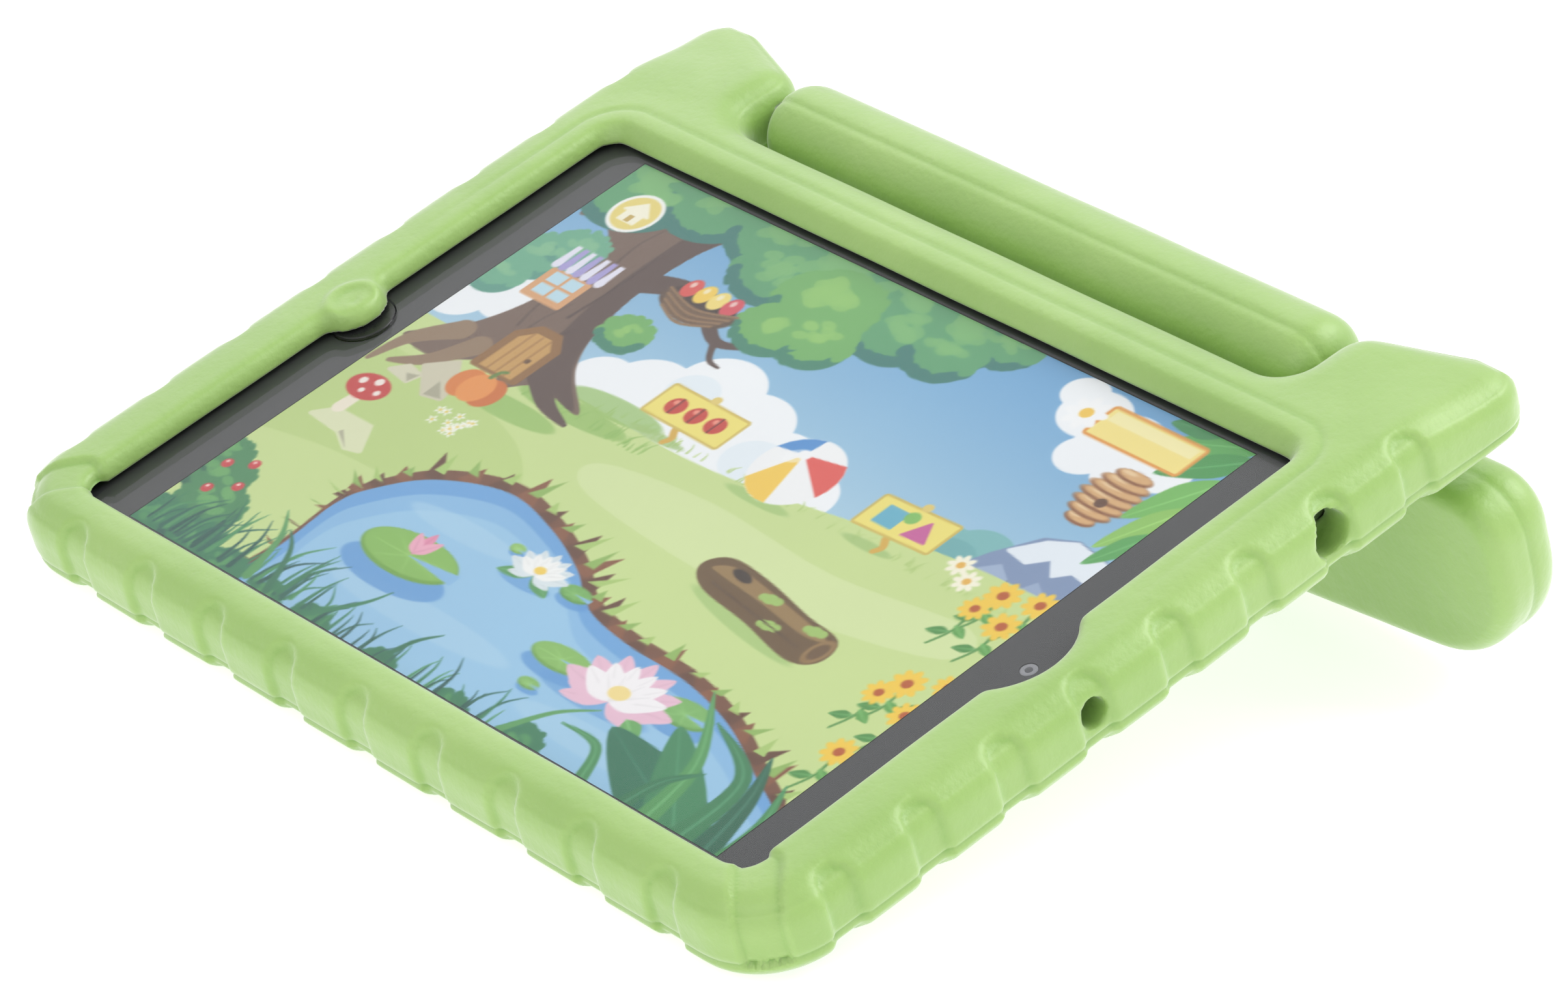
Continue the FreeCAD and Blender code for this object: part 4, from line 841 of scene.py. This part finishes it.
    def petal(self, u, v, reach, turn, colour):
        """A pointed petal; a turn of 0 points up the picture."""
        tip = on_oval(u, v, reach, 0.78 * reach, math.radians(90 - turn))
        self.leaf((u, v), tip, reach * 0.42, colour, vein=tuple(max(0, c - 14) for c in colour))

    def pond_life(self):
        self.lily_pad(66, 26, 15, 6.2, (140, 192, 92))
        for reach, turn, colour in ((9, 0, (236, 150, 180)), (8, -28, (244, 176, 198)),
                (8, 28, (244, 176, 198))):
            self.petal(66, 27, reach, turn, colour)
        self.lily_pad(108, 37.5, 4.6, 2.2, (120, 180, 96))
        self.lily_pad(85, 40.5, 2.2, 1.2, (150, 200, 110))
        self.disc(95, 34, 8, 2, (92, 154, 216), cover=0.6)
        for tip in ((86, 34), (103, 33)):
            self.leaf((95, 37), tip, 4, (90, 160, 96))
        self.water_lily(95, 37, 9.5, (252, 252, 250), (226, 236, 240), (250, 214, 96))
        self.lily_pad(122, 22, 9, 3.4, (140, 192, 100))
        self.lily_pad(158, 25, 8, 3.6, (128, 186, 104))
        self.lily_pad(122, 13, 3, 1.4, (136, 190, 104))
        self.disc(138, 17, 17, 3, (100, 160, 218), cover=0.6)
        self.water_lily(141, 19, 17.0, (252, 248, 250), (240, 196, 216), (250, 226, 150))
        self.leaf((149, 17), (156, 13), 5, (110, 176, 100))

    def flowers(self):
        yellow, heart = (250, 208, 70), (190, 92, 40)
        spots = ((186, 87, 4.2), (195, 89, 4.0), (184, 81, 3.6), (193, 80, 4.2), (190, 57, 4.2),
            (187, 52, 3.6), (197, 50, 3.8), (194, 35, 4.0), (198, 61, 3.4))
        for u, v, radius in spots:
            stem = smooth_line(((u, v), (u + 1.2, v - 7), (u - 0.6, v - 13)), 5)
            self.stroke(stem, 0.8, 0.6, (86, 150, 72))
            self.leaf((u + 0.8, v - 6), (u + 5, v - 8), 2.6, (98, 166, 80))
            self.leaf((u + 0.6, v - 8), (u - 4, v - 10), 2.6, (80, 148, 72))
        for u, v, radius in spots:
            self.flower(u, v, radius, yellow, heart, 9)
        for u, v in ((171, 89), (176, 86)):
            self.flower(u, v, 3.2, (255, 250, 226), (240, 186, 84), 8)
        for k in range(16):
            u, v = 29 + self.draw(0, 13), 58 + self.draw(0, 6)
            self.flower(u, v, 1.3, (252, 252, 240), (240, 214, 110), 5)

    def stones(self):
        for points, face in ((((9, 66), (12, 69), (17, 68), (16, 65)), (222, 218, 190)),
                (((15, 71), (21, 76), (27, 70), (28, 65), (23, 64)), (214, 208, 182)),
                (((6, 46), (10, 50), (22, 50), (27, 43), (23, 42), (17, 45)), (228, 232, 190))):
            self.polygon(points, face, rounded=0.7)
            self.polygon((points[-1], points[-2], np.mean(points, axis=0)), (170, 166, 142), 0.8)
        # a toadstool
        self.stroke(((10, 51), (10.4, 57)), 4.0, 3.2, (246, 236, 214))
        self.disc(10, 59, 6.2, 4.2, (206, 62, 60))
        for u, v, radius in ((7, 60, 1.1), (11, 61.4, 1.2), (13.6, 58.4, 0.9), (9.4, 57.4, 0.8)):
            self.disc(u, v, radius, colour=(252, 240, 230))
        # a pumpkin by the door
        for u, colour in ((28.4, (226, 132, 62)), (35.6, (214, 118, 54)), (32, (240, 154, 78))):
            self.disc(u, 72, 4.4, 4.8, colour)
        stalk = smooth_line(((32, 76.4), (32.6, 78.6), (34, 79.4)), 4)
        self.stroke(stalk, 1.4, 0.9, (112, 140, 70))

    def foreground(self):
        self.leafy(((6, 20, 8), (1, 26, 6), (12, 12, 9)), ((48, 110, 84), (74, 142, 92),
            (110, 176, 104)))
        for u, v in ((4, 24), (10, 27), (13, 20), (7, 16)):
            self.disc(u, v, 1.5, colour=(212, 68, 74))
            self.disc(u - 0.4, v + 0.5, 0.45, colour=(255, 214, 206))
        base = ((40, 104, 88), (58, 132, 92), (78, 152, 98), (30, 88, 80))
        self.leafy(((4, 3, 7), (18, 2, 7), (32, 0, 6), (48, -1, 5), (64, -1, 5), (88, -2, 5),
            (112, -2, 5), (134, -1, 6)), ((36, 96, 84), (56, 130, 92), (88, 160, 100)))
        self.grass(2, 60, 2, 46, 17, base, 0.25)
        self.grass(60, 128, 0, 34, 11, base, 0.1)
        for line, wide, colour in ((((40, 2), (36, 14), (30, 21)), 2.6, (92, 160, 96)),
                (((48, 1), (42, 12), (36, 17)), 2.2, (50, 120, 88)),
                (((62, 1), (70, 10), (73, 16)), 2.0, (60, 134, 94)),
                (((88, 0), (90, 8), (94, 13)), 2.2, (50, 120, 88)), (((128, 0), (134, 10),
                (142, 16)), 2.2, (96, 164, 98))):
            self.stroke(smooth_line(line, 6), wide, 0.3, colour)
        self.leaf((196, -4), (148, 14), 17, (44, 118, 88))
        self.leaf((190, -6), (160, 22), 13, (62, 138, 92))
        for root, bend, tip, wide, colour in (((176, -3), (172, 16), (158, 33), 6.5, (86, 158, 92)),
                ((186, -3), (184, 18), (166, 27), 7.5, (58, 132, 86)),
                ((194, -3), (190, 14), (184, 26), 8.0, (38, 104, 78)),
                ((199, -3), (198, 10), (193, 22), 6.5, (70, 146, 88)),
                ((168, -3), (170, 8), (176, 15), 5.0, (50, 124, 84)),
                ((156, -3), (150, 8), (138, 9), 4.0, (74, 148, 92))):
            line = smooth_line((root, bend, tip), 8)
            self.stroke(line, wide, 0.4, colour)
            self.stroke(line, wide * 0.16, 0.1, tuple(min(255, c + 34) for c in colour), 0.7)

    def painted(self):
        for part in (self.sky, self.hills, self.meadow, self.tree, self.tree_house, self.beehive,
                self.corner_leaves, self.play_things, self.stones, self.log, self.pond,
                self.pond_life, self.flowers, self.foreground):
            part()
        return self


def picture_material(name):
    """A lit screen: the painted colours glow a little, behind a faint unevenness."""
    s = Shader(name)
    colours = s.node("ShaderNodeVertexColor", layer_name="picture")
    uneven = s.ramp(s.noise(9.0, 2.0), (0.3, (0.55, 0.55, 0.56, 1)), (0.7, (0.6, 0.6, 0.6, 1)))
    shown = s.multiply(colours.outputs["Color"], uneven)
    s.link(shown, s.surface.inputs["Base Color"])
    s.link(shown, s.surface.inputs["Emission Color"])
    s.set(Emission_Strength=SCREEN_GLOW, Roughness=0.6, Specular_IOR_Level=0.1)
    return s.material


def build_picture():
    """The lit picture as its own sheet, right over the display panel."""
    art = Meadow().painted()
    u, v = np.meshgrid(art.u - PICTURE[0] / 2, art.v - PICTURE[1] / 2)
    points = np.stack((u.ravel(), v.ravel(), np.full(u.size, PICTURE_LEVEL)), axis=1)
    index = np.arange(u.size).reshape(u.shape)
    faces = np.stack((index[:-1, :-1], index[:-1, 1:], index[1:, 1:], index[1:, :-1]), axis=-1)
    mesh = new_mesh("screen_picture", in_row(points), faces.reshape(-1, 4))
    light = linear(np.clip(art.rgb.reshape(-1, 3) / 255.0, SCREEN_BLACK, 1.0))
    layer = mesh.color_attributes.new("picture", "FLOAT_COLOR", "POINT")
    layer.data.foreach_set("color", np.column_stack((light, np.ones(len(light)))).ravel())
    piece = new_object("screen_picture", mesh)
    mesh.materials.append(picture_material("screen_picture"))
    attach(piece, "case")


def lathe(name, profile, centre, steps=48):
    """A surface of revolution about the tablet's Z, from (radius, height) pairs."""
    points, faces = [], []
    for radius, height in profile:
        for k in range(steps):
            turn = 2 * math.pi * k / steps
            points.append((centre[0] + radius * math.cos(turn),
                           centre[1] + radius * math.sin(turn), height))
    for ring in range(len(profile) - 1):
        for k in range(steps):
            a, b = ring * steps + k, ring * steps + (k + 1) % steps
            faces.append((a, b, b + steps, a + steps))
    mesh = new_mesh(name, in_row(np.array(points)), faces)
    mesh.polygons.foreach_set("use_smooth", np.ones(len(mesh.polygons), dtype=bool))
    return new_object(name, mesh)


def build_border():
    """The dark border, a hair below the glass so that the two faces never coincide."""
    printed = NODES["glass_border"]
    mesh = printed.data.copy()
    mesh.name = "screen_border"
    down = TABLET.to_3x3() @ Vector((0, 0, -BORDER_DROP))
    mesh.transform(Matrix.Translation(down) @ printed.matrix_world)
    piece = new_object("screen_border", mesh)
    mesh.materials.clear()
    mesh.materials.append(bpy.data.materials["border_black"])
    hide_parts("glass_border")
    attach(piece, "case")


def build_camera_lens():
    """The front camera's pale ring and dark domed lens, seen through the glass."""
    for part, profile, colour, shade, rough, grain, bump in (
            ("ring", ((0.85, 0), (1.0, 0.07), (1.7, 0.07), (1.9, 0)), (128, 128, 134), 0.9,
             (0.3, 0.4), 900.0, 0.05),
            ("dome", ((0.02, 0.08), (0.45, 0.06), (0.9, 0.01)), (24, 26, 40), 0.8, (0.08, 0.14),
             500.0, 0.0)):
        raised = [(radius, height + LENS_LEVEL) for radius, height in profile]
        piece = lathe("front_camera_" + part, raised, (FRONT_CAMERA_X, 0.0))
        piece.data.materials.append(plain_material("camera_" + part, colour, shade, rough, grain,
                                                   bump))
        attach(piece, "case")


# ------------------------------ finishes of the CAD pieces

def finishes():
    """A material for each of the record's slots."""
    made = {"foam": foam_material("foam", 2.0), "board_green": board_material("board_green"),
            "glass_clear": glass_material("glass_clear", (0.98, 0.985, 0.985, 1), 0.02),
            "lens_glass": glass_material("lens_glass", (0.55, 0.6, 0.72, 1), 0.06)}
    brushed = {"metallic": 1.0, "stretch": (30.0, 1.0, 30.0)}
    for name, colour, shade, rough, grain, bump, extra in (
            ("border_black", (60, 58, 65), 0.92, (0.35, 0.4), 60.0, 0.02, {}),
            ("display", (20, 22, 26), 0.9, (0.2, 0.3), 60.0, 0.05, {}),
            ("housing_aluminium", (196, 198, 202), 0.94, (0.28, 0.36), 700.0, 0.08,
             {"metallic": 1.0}),
            ("steel_bright", (206, 206, 208), 0.9, (0.16, 0.28), 120.0, 0.05, brushed),
            ("shield_steel", (176, 178, 180), 0.88, (0.3, 0.42), 200.0, 0.06, brushed),
            ("flex_amber", (206, 132, 52), 0.8, (0.3, 0.42), 500.0, 0.05, {}),
            ("black_plastic", (40, 40, 43), 0.8, (0.4, 0.55), 900.0, 0.12, {}),
            ("battery_grey", (74, 76, 80), 0.9, (0.42, 0.55), 260.0, 0.1, {}),
            ("adhesive_black", (24, 24, 25), 0.8, (0.7, 0.85), 500.0, 0.05, {}),
            ("button_black", (32, 32, 35), 0.85, (0.25, 0.35), 700.0, 0.05, {}),
            ("bush_white", (226, 225, 218), 0.95, (0.35, 0.5), 400.0, 0.06, {})):
        made[name] = plain_material(name, colour, shade, rough, grain, bump, **extra)
    return made


def finish_cad_pieces():
    """Give each CAD node the material of its slot in the record."""
    made = finishes()
    for row in frame["record"]["subparts"]:
        piece = NODES[row["node"]]
        material = made[row["material_slot"]]
        if piece.material_slots:
            for place in piece.material_slots:
                place.material = material
        else:
            piece.data.materials.append(material)


# ------------------------------ floor, light and camera

FLOOR_REACH = 9.0
FLOOR_GLOW = 0.72
WORLD_STRENGTH = 0.78
MIDDLE = (0.0, 0.0, 0.04)
# the camera's place and target are in millimetres, in the tablet's frame
CAMERA_PLACE = (997.834, -592.582, 818.863)
CAMERA_TARGET = (22.749, 10.281, 0.0)
CAMERA_ROLL = math.radians(-0.9125)
CAMERA_LENS = 156.977


def build_floor():
    """A plain pale floor, whose glow keeps its shadows faint."""
    corners = [(x * FLOOR_REACH, y * FLOOR_REACH, 0)
               for x, y in ((-1, -1), (1, -1), (1, 1), (-1, 1))]
    mesh = new_mesh("floor", corners, [(0, 1, 2, 3)])
    floor = new_object("floor", mesh)
    s = Shader("floor_paper")
    s.link(s.ramp(s.noise(3.0), (0.3, srgb(198, 198, 198)), (0.7, srgb(204, 204, 204))),
           s.surface.inputs["Base Color"])
    s.set(Roughness=0.9, Specular_IOR_Level=0.1, Emission_Color=(1, 1, 1, 1),
          Emission_Strength=FLOOR_GLOW)
    mesh.materials.append(s.material)


def softbox(name, place, size, power):
    """A square area light at a place, turned to the object's middle."""
    light = bpy.data.lights.new(name, "AREA")
    light.shape = "SQUARE"
    light.size = size
    light.energy = power
    box = new_object(name, light)
    box.location = place
    box.rotation_euler = (Vector(MIDDLE) - Vector(place)).to_track_quat("-Z", "Y").to_euler()


def build_light():
    """An even white world with three soft lights."""
    world = bpy.data.worlds.new("studio")
    world.use_nodes = True
    background = world.node_tree.nodes["Background"].inputs
    background["Color"].default_value = (1.0, 1.0, 1.0, 1.0)
    background["Strength"].default_value = WORLD_STRENGTH
    bpy.context.scene.world = world
    softbox("key_light", (0.55, 0.85, 1.25), 0.9, 14.0)
    softbox("veil_light", (-1.1, 0.42, 1.05), 1.3, 4.5)
    softbox("front_light", (0.5, -1.3, 0.9), 1.1, 4.5)


def build_camera():
    """The camera at the photograph's viewing angle."""
    place, target = TABLET @ Vector(CAMERA_PLACE), TABLET @ Vector(CAMERA_TARGET)
    ahead = (target - place).normalized()
    right = ahead.cross(Vector((0, 0, 1))).normalized()
    up = right.cross(ahead)
    up = up * math.cos(CAMERA_ROLL) + right * math.sin(CAMERA_ROLL)
    right = ahead.cross(up).normalized()
    data = bpy.data.cameras.new("camera")
    data.lens = CAMERA_LENS
    data.sensor_width = 36.0
    data.clip_start, data.clip_end = 0.05, 30.0
    camera = new_object("camera", data)
    turn = Matrix((right, up, -ahead)).transposed().to_4x4()
    camera.matrix_world = Matrix.Translation(place) @ turn
    bpy.context.scene.camera = camera


bpy.context.scene.view_settings.view_transform = "Standard"
build_camera()
build_floor()
build_light()
finish_cad_pieces()
build_foam()
build_picture()
build_border()
build_camera_lens()
